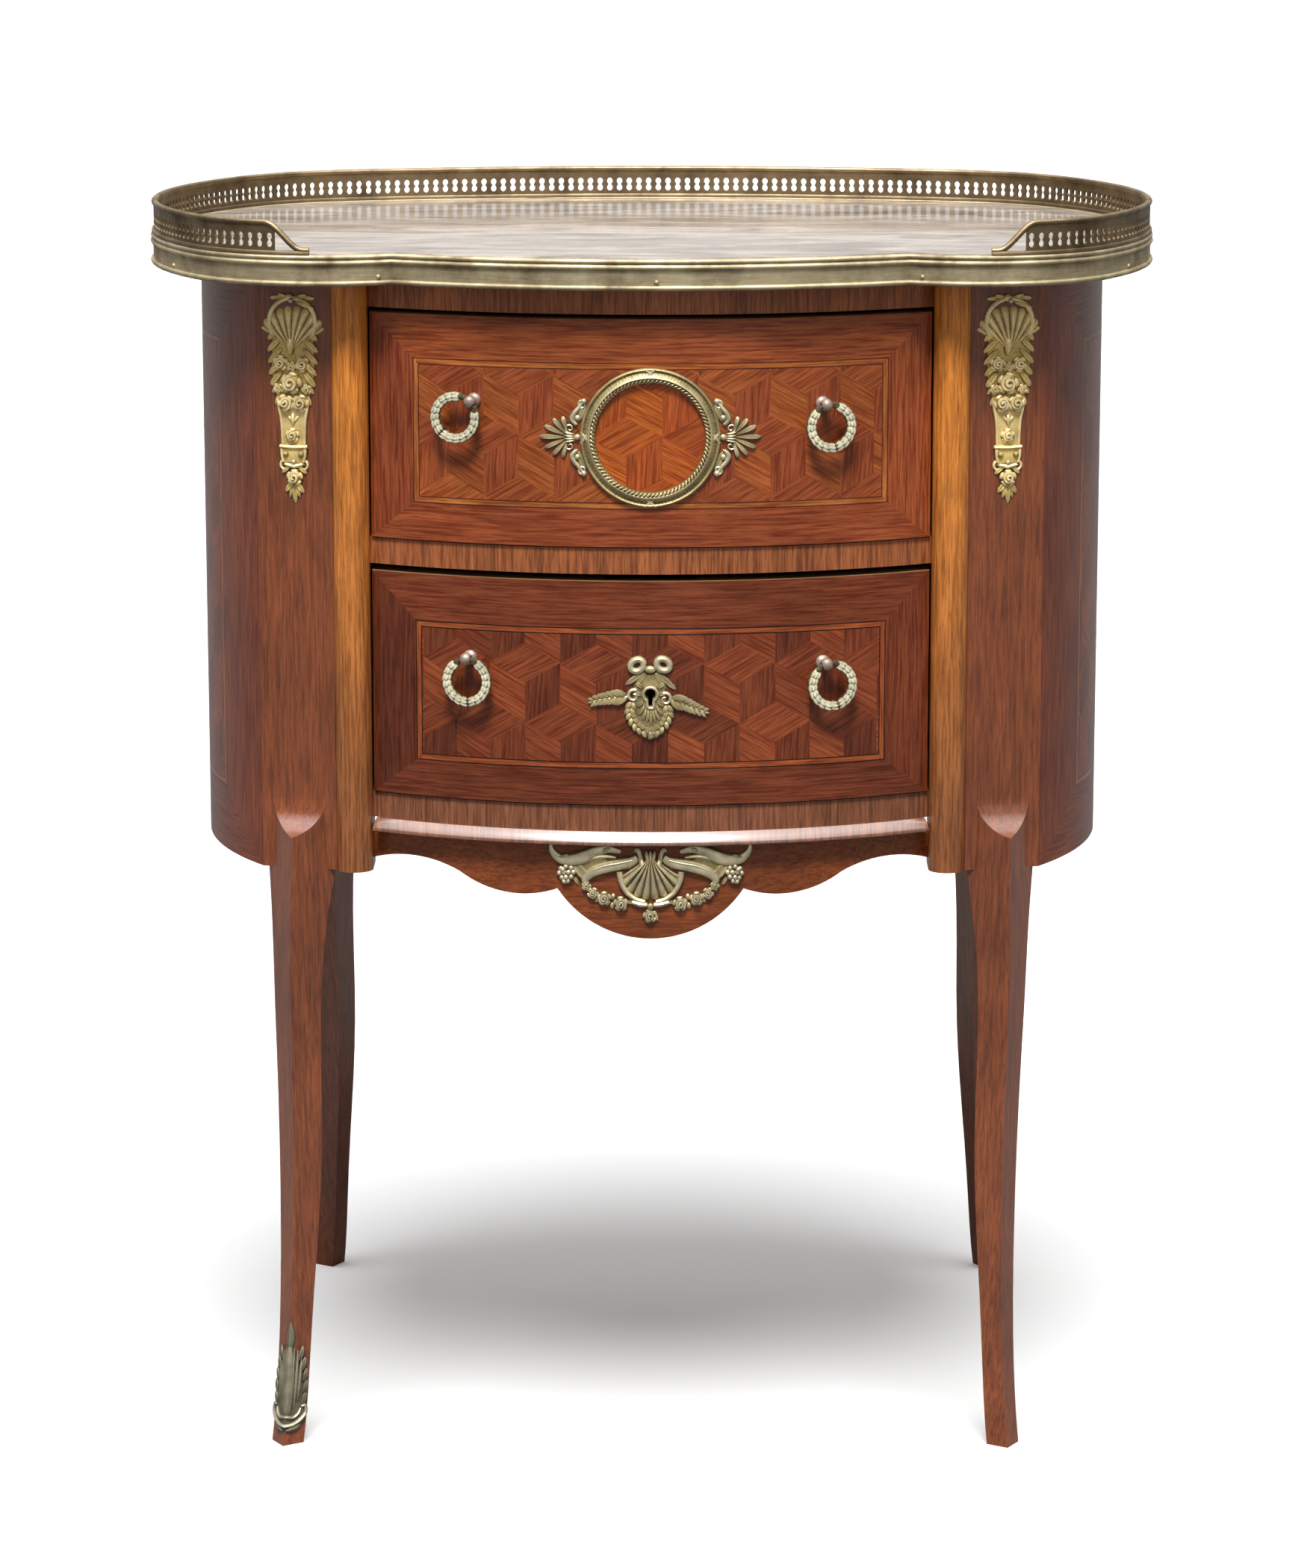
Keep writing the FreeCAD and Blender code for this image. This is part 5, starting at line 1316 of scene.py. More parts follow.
class GalleryLine:
    """Middle line of the gallery's right half, from the back middle round the side to the front."""

    def __init__(self):
        self.points = rim_outline(-GALLERY_INSET, fine=3)[::-1]
        self.lengths = [0.0]
        for a, b in zip(self.points, self.points[1:]):
            self.lengths.append(self.lengths[-1] + (b - a).length)

    def at(self, length):
        """Place at a distance along the line, and the direction across it."""
        last = len(self.points) - 1
        i = max(0, min(bisect.bisect_left(self.lengths, length), last) - 1)
        share = (length - self.lengths[i]) / (self.lengths[i + 1] - self.lengths[i])
        way = (self.points[i + 1] - self.points[i]).normalized()
        return self.points[i].lerp(self.points[i + 1], share), Vector((-way.y, way.x, 0))

    def length_at(self, x):
        """Distance along the line at which its front part reaches a place across."""
        i = next(k for k, p in enumerate(self.points) if p.y < -50 and p.x < x)
        share = (self.points[i - 1].x - x) / (self.points[i - 1].x - self.points[i].x)
        return self.lengths[i - 1] + (self.lengths[i] - self.lengths[i - 1]) * share


def round_hole(quarter, k):
    """Corner of a closed outline of sixteen corners, from the five of its first quarter."""
    part, step = divmod(k % 16, 4)
    a, b = quarter[step] if part % 2 == 0 else quarter[4 - step]
    return (a if part in (0, 3) else -a), (b if part in (0, 1) else -b)


def pierced_wall(bm, line, end, pitch):
    """Upright wall with a row of holes shaped like an eight."""
    count = round(end / pitch)
    pitch = end / count
    low, high = RIM_TOP + STRIP_HALF, GALLERY_TOP - 2.6
    cell = ((pitch / 2, 0.0), (pitch / 2, 2.2), (pitch / 2, 9.0), (1.4, 9.0), (0.0, 9.0))
    for k in range(count):

        def place(s, t, centre=(k + 0.5) * pitch):
            row = round(t * 3)
            x, y = round_hole(HOLE_QUARTER if row in (1, 2) else cell, round(s * 16))
            z = max(low, min(high, RIM_TOP + HOLE_ABOVE_RIM + y))
            return Vector((centre + x, z, WALL_HALF if row < 2 else -WALL_HALF)), 0.7

        sheet(bm, 16, 3, place)
    bmesh.ops.remove_doubles(bm, verts=bm.verts[:], dist=0.01)
    bmesh.ops.bridge_loops(bm, edges=[e for e in bm.edges if e.is_boundary])
    for vert in bm.verts:
        spot, out = line.at(vert.co.x)
        vert.co = Vector((*spot, vert.co.y)) + out * vert.co.z


def gallery_bar(bm, line, profile, run):
    """Bar along the gallery; run gives distances along the line and levels."""
    spots = []
    for length, z in run:
        spot, out = line.at(length)
        spots.append((Vector((*spot, z)), out))
    path = []
    for i, (centre, out) in enumerate(spots):
        way = (spots[min(i + 1, len(spots) - 1)][0] - spots[max(i - 1, 0)][0]).normalized()
        up = way.cross(out).normalized()
        path.append((centre, out, up if up.z > 0 else -up, 1.0))
    swept(bm, [(*path[0][:3], 0.0)] + path + [(*path[-1][:3], 0.0)], profile)


def rail_run(wall_end, ramp_end, strip_end):
    """Distances and levels of the rounded rail: level on the wall, down a ramp, and on along the strip."""
    top, low = GALLERY_TOP - RAIL_HALF_HEIGHT, RIM_TOP + 2.6
    ramp_start = wall_end - 6.0
    run = [(ramp_start * k / 110, top) for k in range(111)]
    for k in range(1, 17):
        share = k / 16
        ease = share * share * (3 - 2 * share)
        run.append((ramp_start + (ramp_end - ramp_start) * share, top + (low - top) * ease))
    return run + [(ramp_end + (strip_end - ramp_end) * k / 3, low) for k in range(1, 4)]


class NIGHTSTAND_OT_gallery(bpy.types.Operator):
    """Makes the two pierced halves of the gallery"""

    bl_idname = "nightstand.gallery"
    bl_label = "Gallery"

    def execute(self, context):
        line = GalleryLine()
        wall_end, ramp_end, strip_end = [line.length_at(x) for x in (WALL_END_X, RAMP_END_X, STRIP_END_X)]
        round_rail = arc_points((0, 0), RAIL_HALF_HEIGHT, 0, 337.5, 15)
        rail_profile = [(a * RAIL_HALF_WIDTH / RAIL_HALF_HEIGHT, b) for a, b in round_rail]
        strip_run = [(strip_end * k / 120, RIM_TOP + STRIP_HALF) for k in range(121)]
        for side, hand in SIDES:
            bm = new_mesh()
            pierced_wall(bm, line, wall_end, context.scene.nightstand_sizes.hole_pitch / MM)
            gallery_bar(bm, line, rail_profile, rail_run(wall_end, ramp_end, strip_end))
            gallery_bar(bm, line, STRIP_PROFILE, strip_run)
            make_piece(
                f"{side}_pierced_gallery", bm, lambda p, hand=hand: Vector((p.x * hand, p.y, p.z)) * MM,
                "tarnished_brass", "carcass", [f"{side}_gallery"], sharp=50)
        return {"FINISHED"}


def medallion_ring(bm):
    """Moulded ring with a twisted cord inside and fine beads outside."""
    sides = len(MEDALLION_PROFILE)

    def place(s, t):
        turn = 2 * math.pi * s
        reach, height = MEDALLION_PROFILE[round(t * sides) % sides]
        # Low parts of the section, the grooves of the cord and those between the beads get a lower relief:
        # partly dirt, partly painted shade
        relief = 0.62 * max(0.0, height / 3.8) ** 1.3
        if 33.0 < reach < 35.2:
            strand = math.cos(90 * turn + (reach - 34) * 2.2)
            height *= 0.86 + 0.14 * strand
            relief *= 0.55 + 0.45 * strand
        if 36.2 < reach < 40.0:
            relief *= 0.8 + 0.2 * math.cos(120 * turn)
        return polar(reach, turn, height), relief

    sheet(bm, 540, sides, place)


def medallion_ribbons(bm):
    """Crossed ribbons that bind the ring at its four quarters."""
    for quarter in range(4):
        for way in BOTH:
            points = [
                polar(41.0 - 5.4 * share, math.pi / 2 * quarter + way * (share - 0.5) * 0.17, 1.7)
                for share in (0, 0.35, 0.7, 1)]
            stem(bm, points, (1.7, 2.0, 2.0, 1.7), flat=0.45)


def palmette(bm, hand):
    """Fan of leaves beside the ring, with its bound stalk."""
    for k in range(-3, 4):
        turn = math.radians(25 * k)
        reach = 17.4 - 1.5 * abs(k)
        leaf = ((48.6 + 1.2 * math.cos(turn), 2.2 * math.sin(turn)),
                (48.6 + reach * math.cos(turn), reach * math.sin(turn)))
        lobe(bm, *flipped(leaf, hand), 5.0, 3.2, taper=0.72, crease=0.25)
    for k in (-1.5, -0.5, 0.5, 1.5):
        lobe(bm, (hand * 44.2, k * 1.1), (hand * 51.0, k * 2.0), 2.3, 2.7, taper=0.3)
    lobe(bm, (hand * 40.5, 0), (hand * 45.8, 0), 5.5, 2.6, taper=0.2, point=0.5)


def palmette_curl(bm, hand, up):
    """Curling leaf above (1) or below (-1) a palmette, with its scrolls and berries."""

    def at(*points):
        return flipped(points, hand, up)

    volute(bm, *at((47.6, 5.2)), 2.9, 1.7, math.radians(-90 * up), 1.25, up * hand)
    curl = at((43.6, 7.6), (46.2, 10.8), (44.8, 14.4), (42.2, 17.4), (39.8, 21.0))
    stem(bm, curl, (2.6, 3.6, 3.4, 3.0, 2.2), flat=0.7)
    for berry in at((43.0, 11.6, 0.6), (39.2, 21.4, 0.6)):
        ball(bm, berry, 1.9)
    lobe(bm, *at((42.5, 7.0), (47.0, 10.5)), 2.4, 1.8, taper=0.2, point=0.4)
    lobe(bm, *at((43.4, 8.0), (38.0, 20.0)), 5.4, 1.8, taper=0.2, point=0.3, crease=0.35)
    volute(bm, *at((40.0, 19.4)), 2.7, 1.9, math.radians(90 * up), 1.2, -up * hand)


class NIGHTSTAND_OT_medallion(bpy.types.Operator):
    """Makes the round frame with its two palmettes on the upper drawer"""

    bl_idname = "nightstand.medallion"
    bl_label = "Medallion frame"

    def execute(self, context):
        bm = new_mesh()
        medallion_ring(bm)
        medallion_ribbons(bm)
        for hand in BOTH:
            palmette(bm, hand)
            for up in BOTH:
                palmette_curl(bm, hand, up)
        make_piece(
            "medallion_mount", bm, on_bow(BOW_RADIUS, MEDALLION_Z), "chased_gilt_bronze", "upper_drawer",
            ["medallion_frame", "medallion_pins"])
        return {"FINISHED"}


def keyhole_reach(turn):
    """Distance from the middle of the keyhole to its edge."""
    lean = abs((turn + math.pi / 2 + math.pi) % (2 * math.pi) - math.pi)
    if lean < math.atan2(KEYHOLE_SLOT, KEYHOLE_DEPTH):
        return KEYHOLE_DEPTH / math.cos(lean)
    return max(KEYHOLE_EYE, KEYHOLE_SLOT / math.sin(lean)) if lean < math.pi / 2 else KEYHOLE_EYE


def outline_reach(outline, turn):
    """Distance from the middle of a closed outline to its edge."""
    way = polar(1.0, turn).xy
    for a, b in zip(outline, outline[1:] + outline[:1]):
        a, b = Vector(a), Vector(b)
        run = b - a
        cross = way.x * run.y - way.y * run.x
        if abs(cross) > 1e-9:
            reach = (a.x * run.y - a.y * run.x) / cross
            share = (a.x * way.y - a.y * way.x) / cross
            if reach > 0 and -1e-6 <= share <= 1 + 1e-6:
                return reach
    raise ValueError("the outline does not go round its middle")


def keyhole_plate(bm):
    """Flat body of the escutcheon, pierced by the keyhole, with a raised border round the hole."""

    def place(s, t):
        turn = 2 * math.pi * s
        row = round(t * 4) % 4
        reach = outline_reach(ESCUTCHEON_BODY, turn) if row in (0, 1) else keyhole_reach(turn)
        reach -= 0.5 if row == 1 else 0.0
        height = -0.2 if row in (0, 3) else 1.1
        return polar(reach, turn, height), (0.0, 0.2, 0.45, 0.0)[row]

    sheet(bm, 72, 4, place)
    turns = [2 * math.pi * k / 36 + 0.4 for k in range(37)]
    border = [polar(keyhole_reach(t) + 1.1, t, 0.9) for t in turns]
    stem(bm, border, [2.0] * len(border), flat=0.6, steps=2)


def escutcheon_bow(bm):
    """Ribbon tied above the keyhole: two loops, a knot and four tails."""
    turns = [2 * math.pi * k / 14 for k in range(15)]
    for x, y, lean in ((-7.9, 17.6, 0.6), (7.6, 18.0, -0.6)):
        loop = [(x + 3.9 * math.cos(t), y + 3.5 * math.sin(t) + lean * math.cos(t), 0.3) for t in turns]
        stem(bm, loop, [4.6] * len(loop), flat=0.5, steps=3)
    lobe(bm, (-3.8, 15.0, 0.5), (3.4, 15.0, 0.5), 5.4, 2.2, taper=0.0)
    lobe(bm, (-3.0, 14.0, 0.2), (-15.0, 5.5, 0.2), 5.0, 2.0, taper=0.3, point=0.3, crease=0.35)
    lobe(bm, (3.0, 14.0, 0.2), (15.5, 2.5, 0.2), 5.0, 2.0, taper=0.3, point=0.3, crease=0.35)
    lobe(bm, (-2.5, 13.0, 0.3), (-9.5, 4.0, 0.3), 4.2, 1.9, taper=0.3, point=0.3, crease=0.3)
    lobe(bm, (2.5, 13.0, 0.3), (9.5, 3.0, 0.3), 4.2, 1.9, taper=0.3, point=0.3, crease=0.3)


def escutcheon_wreath(bm):
    """Scrolls and rows of leaves round the plate, and the leaves that cover it."""
    volute(bm, (-9.8, -1.0), 4.0, 2.6, math.radians(70), 1.1, 1)
    volute(bm, (8.8, -3.0), 4.0, 2.6, math.radians(110), 1.1, -1)
    left = ((-11.0, -4.5), (-11.8, -10.5), (-9.5, -17.0), (-4.5, -21.5), (0.2, -23.0))
    right = ((10.0, -6.5), (10.4, -11.5), (8.6, -17.0), (5.0, -21.0), (1.4, -23.0))
    for points in (left, right):
        leaf_row(bm, points, 5.8, 4.6, 2.4, 3.3)
    for k, x in enumerate((-5.0, -2.2, 0.4, 3.0, 5.6)):
        tip = (x, -16.0 - 3.0 * (1 - abs(k - 2) / 2), 0.9)
        lobe(bm, (x * 0.5, -9.5, 1.1), tip, 3.4, 1.8, taper=0.4, point=0.3, crease=0.3)
    for leaf in (
        ((3.6, 3.4, 1.0), (8.6, 7.0, 0.9)), ((4.2, -0.5, 1.0), (9.0, 1.0, 0.9)),
        ((4.0, -4.0, 1.0), (8.4, -7.4, 0.9)), ((3.6, -7.0, 1.0), (7.6, -12.6, 0.9)),
    ):
        for hand in BOTH:
            lobe(bm, *flipped(leaf, hand), 3.8, 1.9, taper=0.3, point=0.35, crease=0.35)


def escutcheon_sprays(bm):
    """Long sprays of leaves to both sides."""
    left = ((-13.6, -1.4), (-21.0, -2.0), (-29.0, -3.2), (-34.4, -4.8))
    right = ((11.8, -3.0), (19.0, -5.4), (27.0, -8.8), (32.4, -10.9))
    for points in (left, right):
        leaf_row(bm, points, 9.0, 5.2, 2.5, 3.2, shrink=0.5)


class NIGHTSTAND_OT_escutcheon(bpy.types.Operator):
    """Makes the keyhole plate with its bow, wreath and sprays of leaves on the lower drawer"""

    bl_idname = "nightstand.escutcheon"
    bl_label = "Keyhole escutcheon"

    def execute(self, context):
        bm = new_mesh()
        keyhole_plate(bm)
        escutcheon_bow(bm)
        escutcheon_wreath(bm)
        escutcheon_sprays(bm)
        make_piece(
            "keyhole_mount", bm, on_bow(BOW_RADIUS, KEYHOLE_Z), "chased_gilt_bronze", "lower_drawer",
            ["keyhole_escutcheon", "escutcheon_pins"])
        return {"FINISHED"}


def apron_frame(bm, hand):
    """Ground plate of half the apron mount, and the scrolls that frame the shell."""
    ground = (
        (8, -6), (12, -10), (20, -11), (27, -9.5), (34, -7.5), (41, -9), (48, -12), (46, -17), (41, -22.5),
        (36, -20.5), (28, -17.5), (19, -16), (12, -15),
    )
    plate(bm, flipped(ground, hand), 1.5, relief=0.3)
    beside = ((5, -15), (5.8, -9), (7.0, -4.6), (8.2, -3.4), (9.2, -5.0))
    stem(bm, flipped(beside, hand), (3.6, 3.8, 3.6, 3.0, 1.8))
    below = ((18.8, -17.0), (17.6, -23.5), (14.4, -29.4), (9.0, -33.8), (3.5, -35.4))
    stem(bm, flipped(below, hand), (4.4, 4.0, 3.8, 3.6, 3.2))
    foot = ((2.0, -37.4), (6.0, -37.0), (11.0, -35.6))
    stem(bm, flipped(foot, hand), (3.4, 4.4, 3.4), flat=0.7)


def apron_horn(bm, hand):
    """Horn of plenty with a raised rib and a turned mouth."""
    horn = ((8.0, -8.5), (12, -11.0), (19, -12.6), (27, -14.2), (34.5, -17.0), (39.4, -21.5), (38.6, -25.5))
    stem(bm, flipped(horn, hand), (5.0, 7.0, 8.4, 9.0, 8.4, 6.4, 4.2), flat=0.42)
    rib = ((11, -9.6, 2.6), (19, -11.4, 3.0), (28, -13.2, 3.2), (35, -16.4, 3.0))
    stem(bm, flipped(rib, hand), (1.0, 1.6, 1.6, 1.2), flat=0.6)
    mouth = ((47, -11), (38.5, -22))
    lobe(bm, *flipped(mouth, hand), 9.0, 3.6, taper=0.2, crease=0.35)


def apron_leaf(bm, hand):
    """Long curling leaf above the horn, with its folds."""
    blade = (
        (61, -1.2), (59.6, -6.0), (54.5, -10.0), (47.5, -10.4), (40.5, -8.4), (33, -4.9), (25.5, -3.4),
        (18, -5.0),
    )
    stem(bm, flipped(blade, hand), (2.2, 4.6, 7.0, 8.6, 9.2, 7.6, 5.6, 2.8), flat=0.42)
    for x, y, reach in (
        (56.5, -9.2, 7.0), (50.5, -10.8, 7.5), (44.0, -10.2, 8.0), (37.5, -7.4, 8.0), (31.0, -4.8, 7.0),
    ):
        fold = ((x, y, 1.8), (x - reach, y + reach * 0.32, 2.0))
        lobe(bm, *flipped(fold, hand), 3.4, 1.7, taper=0.5, point=0.4, crease=0.3)
    under = ((40, -10.5), (33.5, -8.4), (27, -7.8), (21, -8.6))
    stem(bm, flipped(under, hand), (3.2, 3.8, 3.2, 1.6), flat=0.7)


def apron_fruit(bm, hand):
    """Grapes that spill from the horn, and a festoon of roses with leaves."""
    grapes = (
        (48.2, -15.2, 1.2), (51.4, -14.6, 1.2), (54.4, -15.8, 1.2), (46.8, -17.8, 1.2), (49.6, -17.8, 2.4),
        (52.6, -17.8, 2.4), (55.4, -18.6, 1.2), (48.2, -20.6, 1.8), (51.2, -20.8, 2.2), (53.8, -21.2, 1.2),
        (50.2, -23.2, 1.2), (52.4, -23.6, 1.2),
    )
    for grape in flipped(grapes, hand):
        ball(bm, grape, 1.75)
    vine_leaf = ((47, -20), (43.5, -26))
    lobe(bm, *flipped(vine_leaf, hand), 4.0, 1.8, taper=0.3, point=0.5, crease=0.3)
    for x, y, radius in ((39.0, -26.4, 3.2), (35.0, -30.6, 3.8), (28.0, -33.8, 4.6), (18.0, -36.8, 4.8)):
        rose(bm, (hand * x, y, 0.6), radius, turn=x)
    for leaf in (
        ((23, -35), (22.5, -30.6)), ((31.5, -33), (33.6, -36.4)), ((14.5, -36), (9.5, -35.2)),
        ((23, -36), (23.6, -40.4)),
    ):
        lobe(bm, *flipped(leaf, hand), 4.2, 2.2, taper=0.3, point=0.4, crease=0.3)


class NIGHTSTAND_OT_apron_mount(bpy.types.Operator):
    """Makes the shell with horns, grapes and roses on the apron"""

    bl_idname = "nightstand.apron_mount"
    bl_label = "Apron mount"

    def execute(self, context):
        bm = new_mesh()
        shell(bm, (0, -7.5), 26.0, 56, 9, 5.6, math.radians(-90), dish=0.25)
        for hand in BOTH:
            apron_frame(bm, hand)
            apron_horn(bm, hand)
            apron_leaf(bm, hand)
            apron_fruit(bm, hand)
        for k in range(-1, 2):
            lobe(bm, (k * 1.4, -12.5, 2.2), (k * 2.6, -3.6, 1.4), 3.2, 3.0, taper=0.3)
        ball(bm, (0, -38.2, 1.6), 2.4, squash=0.8, relief=0.35)
        rose(bm, (-0.3, -44.2, 0.4), 4.6, turn=0.5)
        lobe(bm, (2.4, -41.5), (4.6, -47.6), 3.4, 2.6, taper=0.3, point=0.4)
        make_piece(
            "apron_shell_mount", bm, on_bow(APRON_RADIUS, MOULDING_LOW), "chased_gilt_bronze", "carcass",
            ["apron_mount"])
        return {"FINISHED"}


def chute_ground(bm):
    """Two flat plates that taper downwards under the ornament of a post."""
    for half_widths, thickness, relief in (
        (((12.6, -21), (13.0, -33), (13.4, -42), (12.8, -52), (10.4, -62), (8.6, -68)), 0.8, 0.3),
        (((10.4, -62), (9.0, -69), (7.4, -78), (6.6, -92)), 1.3, 0.45),
    ):
        plate(bm, flipped(half_widths, 1) + flipped(half_widths[::-1], -1), thickness, relief)


def chute_crown(bm):
    """Ribbon, arch and shell at the top of a post's mount."""
    ball(bm, (-1.6, -3.2, 1.2), 2.4, relief=0.8)
    arch = arc_points((0, -18.0), 14.4, 212, -32, 16)
    stem(bm, arch, [3.3] * len(arch), flat=0.75, steps=2)
    shell(bm, (0, -35.0), 25.5, 58, 9, 4.6, math.radians(90), dish=0.4)
    lobe(bm, (-1.0, -38, 0.8), (-1.0, -26, 0.8), 6.0, 4.2, taper=0.2)
    lobe(bm, (2.0, -5.6, 1.6), (14.0, -9.6, 1.4), 3.4, 1.8, taper=0.3, point=0.3, crease=0.3)
    for hand in BOTH:
        lobe(bm, (hand * 1.5, -3.4, 0.4), (hand * 9.0, -1.8, 0.3), 4.0, 2.0, taper=0.4, crease=0.3)
        lobe(bm, (hand * 6.0, -3.2), (hand * 14.0, -3.8), 4.0, 1.8, taper=0.3, point=0.3, crease=0.3)


def chute_festoon(bm):
    """Roses and leaves that hang below the shell."""
    for hand in BOTH:
        for x, y in ((15.6, -29.0), (15.8, -36.0), (15.6, -43.0), (15.0, -50.0), (14.2, -56.5)):
            leaf = ((6.4, y + 9.5, 0.8), (x, y, 0.2))
            lobe(bm, *flipped(leaf, hand), 6.0, 3.0, taper=0.45, point=0.25, crease=0.4)
        for leaf in (
            ((8, -55, 0.6), (13.2, -61, 0.2)), ((7.5, -60, 0.6), (11.2, -68, 0.2)),
            ((9.5, -51, 0.6), (13.4, -57, 0.2)),
        ):
            lobe(bm, *flipped(leaf, hand), 4.6, 2.4, taper=0.4, point=0.4, crease=0.35)
    for x, y, radius in (
        (-7.4, -42.6, 5.0), (6.4, -43.2, 5.0), (-0.6, -44.6, 3.4), (-0.8, -54.4, 7.0), (-4.4, -66.4, 5.6),
        (4.8, -66.4, 5.6), (-9.0, -58.0, 3.4), (8.6, -58.2, 3.4), (-0.4, -86.0, 4.6),
    ):
        rose(bm, (x, y, 1.2), radius, turn=x + y)


def chute_shaft(bm):
    """Tapering shaft with raised edges, a bud, and a moulded block with scrolls below it."""
    for hand in BOTH:
        edge = ((10.0, -64, 0.6), (8.8, -70, 0.6), (7.4, -78, 0.6), (6.8, -91.5, 0.6))
        stem(bm, flipped(edge, hand), (1.6, 2.2, 2.0, 1.8), flat=0.9)
        ball(bm, (hand * 4.8, -97.2, 2.0), 1.9, relief=0.2)
        block_edge = ((7.4, -94, 1.4), (7.2, -98, 1.4), (6.4, -102, 1.4))
        stem(bm, flipped(block_edge, hand), (2.0, 2.0, 1.8))
        volute(bm, (hand * 5.6, -104.2), 3.4, 2.2, math.radians(90), 1.2, -hand)
        lobe(bm, (0, -78.5, 1.0), (hand * 3.4, -73.8, 1.0), 2.8, 1.6, taper=0.3, point=0.5)
    lobe(bm, (0, -80.5, 1.0), (-0.4, -72.5, 1.0), 4.2, 2.6, taper=0.3, point=0.4)
    band = ((-8.6, -92.6), (-4, -92.9), (4, -92.9), (8.6, -92.6))
    stem(bm, band, (2.4, 3.0, 3.0, 2.4), flat=1.0, lift=0.4)
    plate(bm, ((7.4, -94), (-7.4, -94), (-6.8, -102.5), (6.8, -102.5)), 2.0, relief=0.35)
    sill = ((-5.5, -103.4), (0, -104.4), (5.5, -103.4))
    stem(bm, sill, (2.4, 3.4, 2.4), lift=0.6)


def chute_pendant(bm):
    """Rose with leaves at the lower end of a post's mount."""
    for hand in BOTH:
        leaf = ((1.5, -103.5, 0.4), (8.0, -109.0, 0.2))
        lobe(bm, *flipped(leaf, hand), 4.2, 2.6, taper=0.4, point=0.3, crease=0.3)
    rose(bm, (0.3, -111.4, 0.8), 5.4, turn=0.3)
    for x, y, width in (
        (-5.8, -120.5, 4.8), (6.0, -121.0, 4.8), (0.6, -127.4, 5.6), (-3.0, -124.0, 3.6), (3.6, -124.0, 3.6),
    ):
        lobe(bm, (x * 0.15, -113.5, 0.3), (x, y), width, 2.8, taper=0.4, point=0.45, crease=0.4)


def pin_head(pins, spot, place):
    """Domed head of a pin, laid on the part by a rule."""
    dome = new_mesh()
    ball(dome, spot, 1.6, squash=0.7)
    for vert in dome.verts:
        vert.co = place(vert.co)
    join(pins, dome)


class NIGHTSTAND_OT_chutes(bpy.types.Operator):
    """Makes the tall mounts of the two front posts, and the heads of all the carcass pins"""

    bl_idname = "nightstand.chutes"
    bl_label = "Post mounts"

    def execute(self, context):
        pins = new_mesh()
        for side, hand in SIDES:
            bm = new_mesh()
            chute_ground(bm)
            chute_crown(bm)
            chute_festoon(bm)
            chute_shaft(bm)
            chute_pendant(bm)
            make_piece(
                f"{side}_post_mount", bm, on_post(hand), "burnished_gilt_bronze", "carcass",
                [f"{side}_chute"])
            pin_head(pins, (0, -5.0, 3.3), on_post(hand))
            pin_head(pins, (0, -102.0, 2.4), on_post(hand))
            pin_head(pins, (hand * 53.0, -16.0, 3.6), on_bow(APRON_RADIUS, MOULDING_LOW))
        make_piece(
            "mount_pin_heads", pins, None, "chased_gilt_bronze", "carcass", ["mount_pins"])
        return {"FINISHED"}


def shoe_ground(bm):
    """Thin wrap of bronze round the two front faces of the foot, with a wavy upper edge."""

    def place(s, t):
        across = 2 * s - 1
        under = t > 0.5
        share = 2 * (1 - t) if under else 2 * t
        top = 30.0 + 26.0 * math.cos(across * math.pi / 2) ** 1.4 + 4.0 * math.cos(across * 5 * math.pi)
        low = 7.5 + 4.5 * abs(across) ** 2
        edge = min(1.0, 7 * min(share, 1.0001 - share)) * min(1.0, 9 * min(s, 1.0001 - s))
        height = 0.05 if under else 0.05 + 1.3 * edge ** 0.5
        return Vector((across * 13.4, low + (top - low) * share, height)), 0.3

    sheet(bm, 24, 24, place)


def shoe_leaves(bm, hand):
    """Upright leaves beside the arris, and a row of small ones up the edge."""
    for x, low, tip, width in ((2.6, 16.0, 60.0, 2.2), (5.2, 18.0, 58.0, 3.4), (8.0, 24.0, 52.0, 3.6)):
        lobe(bm, (hand * x * 0.8, low, 1.2), (hand * x, tip, 0.8), width, 1.5, taper=0.2, point=0.4)
    for x, low, high in (
        (11.4, 22.0, 31.0), (11.8, 29.0, 38.0), (11.2, 36.0, 45.0), (9.8, 43.0, 52.0), (7.8, 49.0, 59.0),
    ):
        leaf = ((x - 1.6, low, 0.8), (x + 0.6, high, 0.9))
        lobe(bm, *flipped(leaf, hand), 4.4, 1.8, taper=0.2, point=0.2, crease=0.3)


def shoe_scrolls(bm, hand):
    """Scrolls round the lower end of the shoe."""
    outer = (
        (0.0, 12.0, 1.0), (4.5, 12.5, 1.0), (9.0, 14.5, 1.0), (12.4, 18.0, 1.0), (12.2, 22.5, 1.0),
        (9.4, 22.5, 1.0),
    )
    stem(bm, flipped(outer, hand), (2.6, 3.4, 3.4, 3.0, 2.6, 1.8), flat=0.6)
    inner = ((0.0, 17.5, 0.9), (4.0, 16.5, 0.9), (7.5, 18.5, 0.9), (9.0, 21.5, 0.9))
    stem(bm, flipped(inner, hand), (2.4, 2.6, 2.4, 1.6), flat=0.7)
    lobe(bm, (hand * 0.5, 9.0, 0.9), (hand * 10.5, 11.5, 0.7), 4.0, 1.5, taper=0.1)


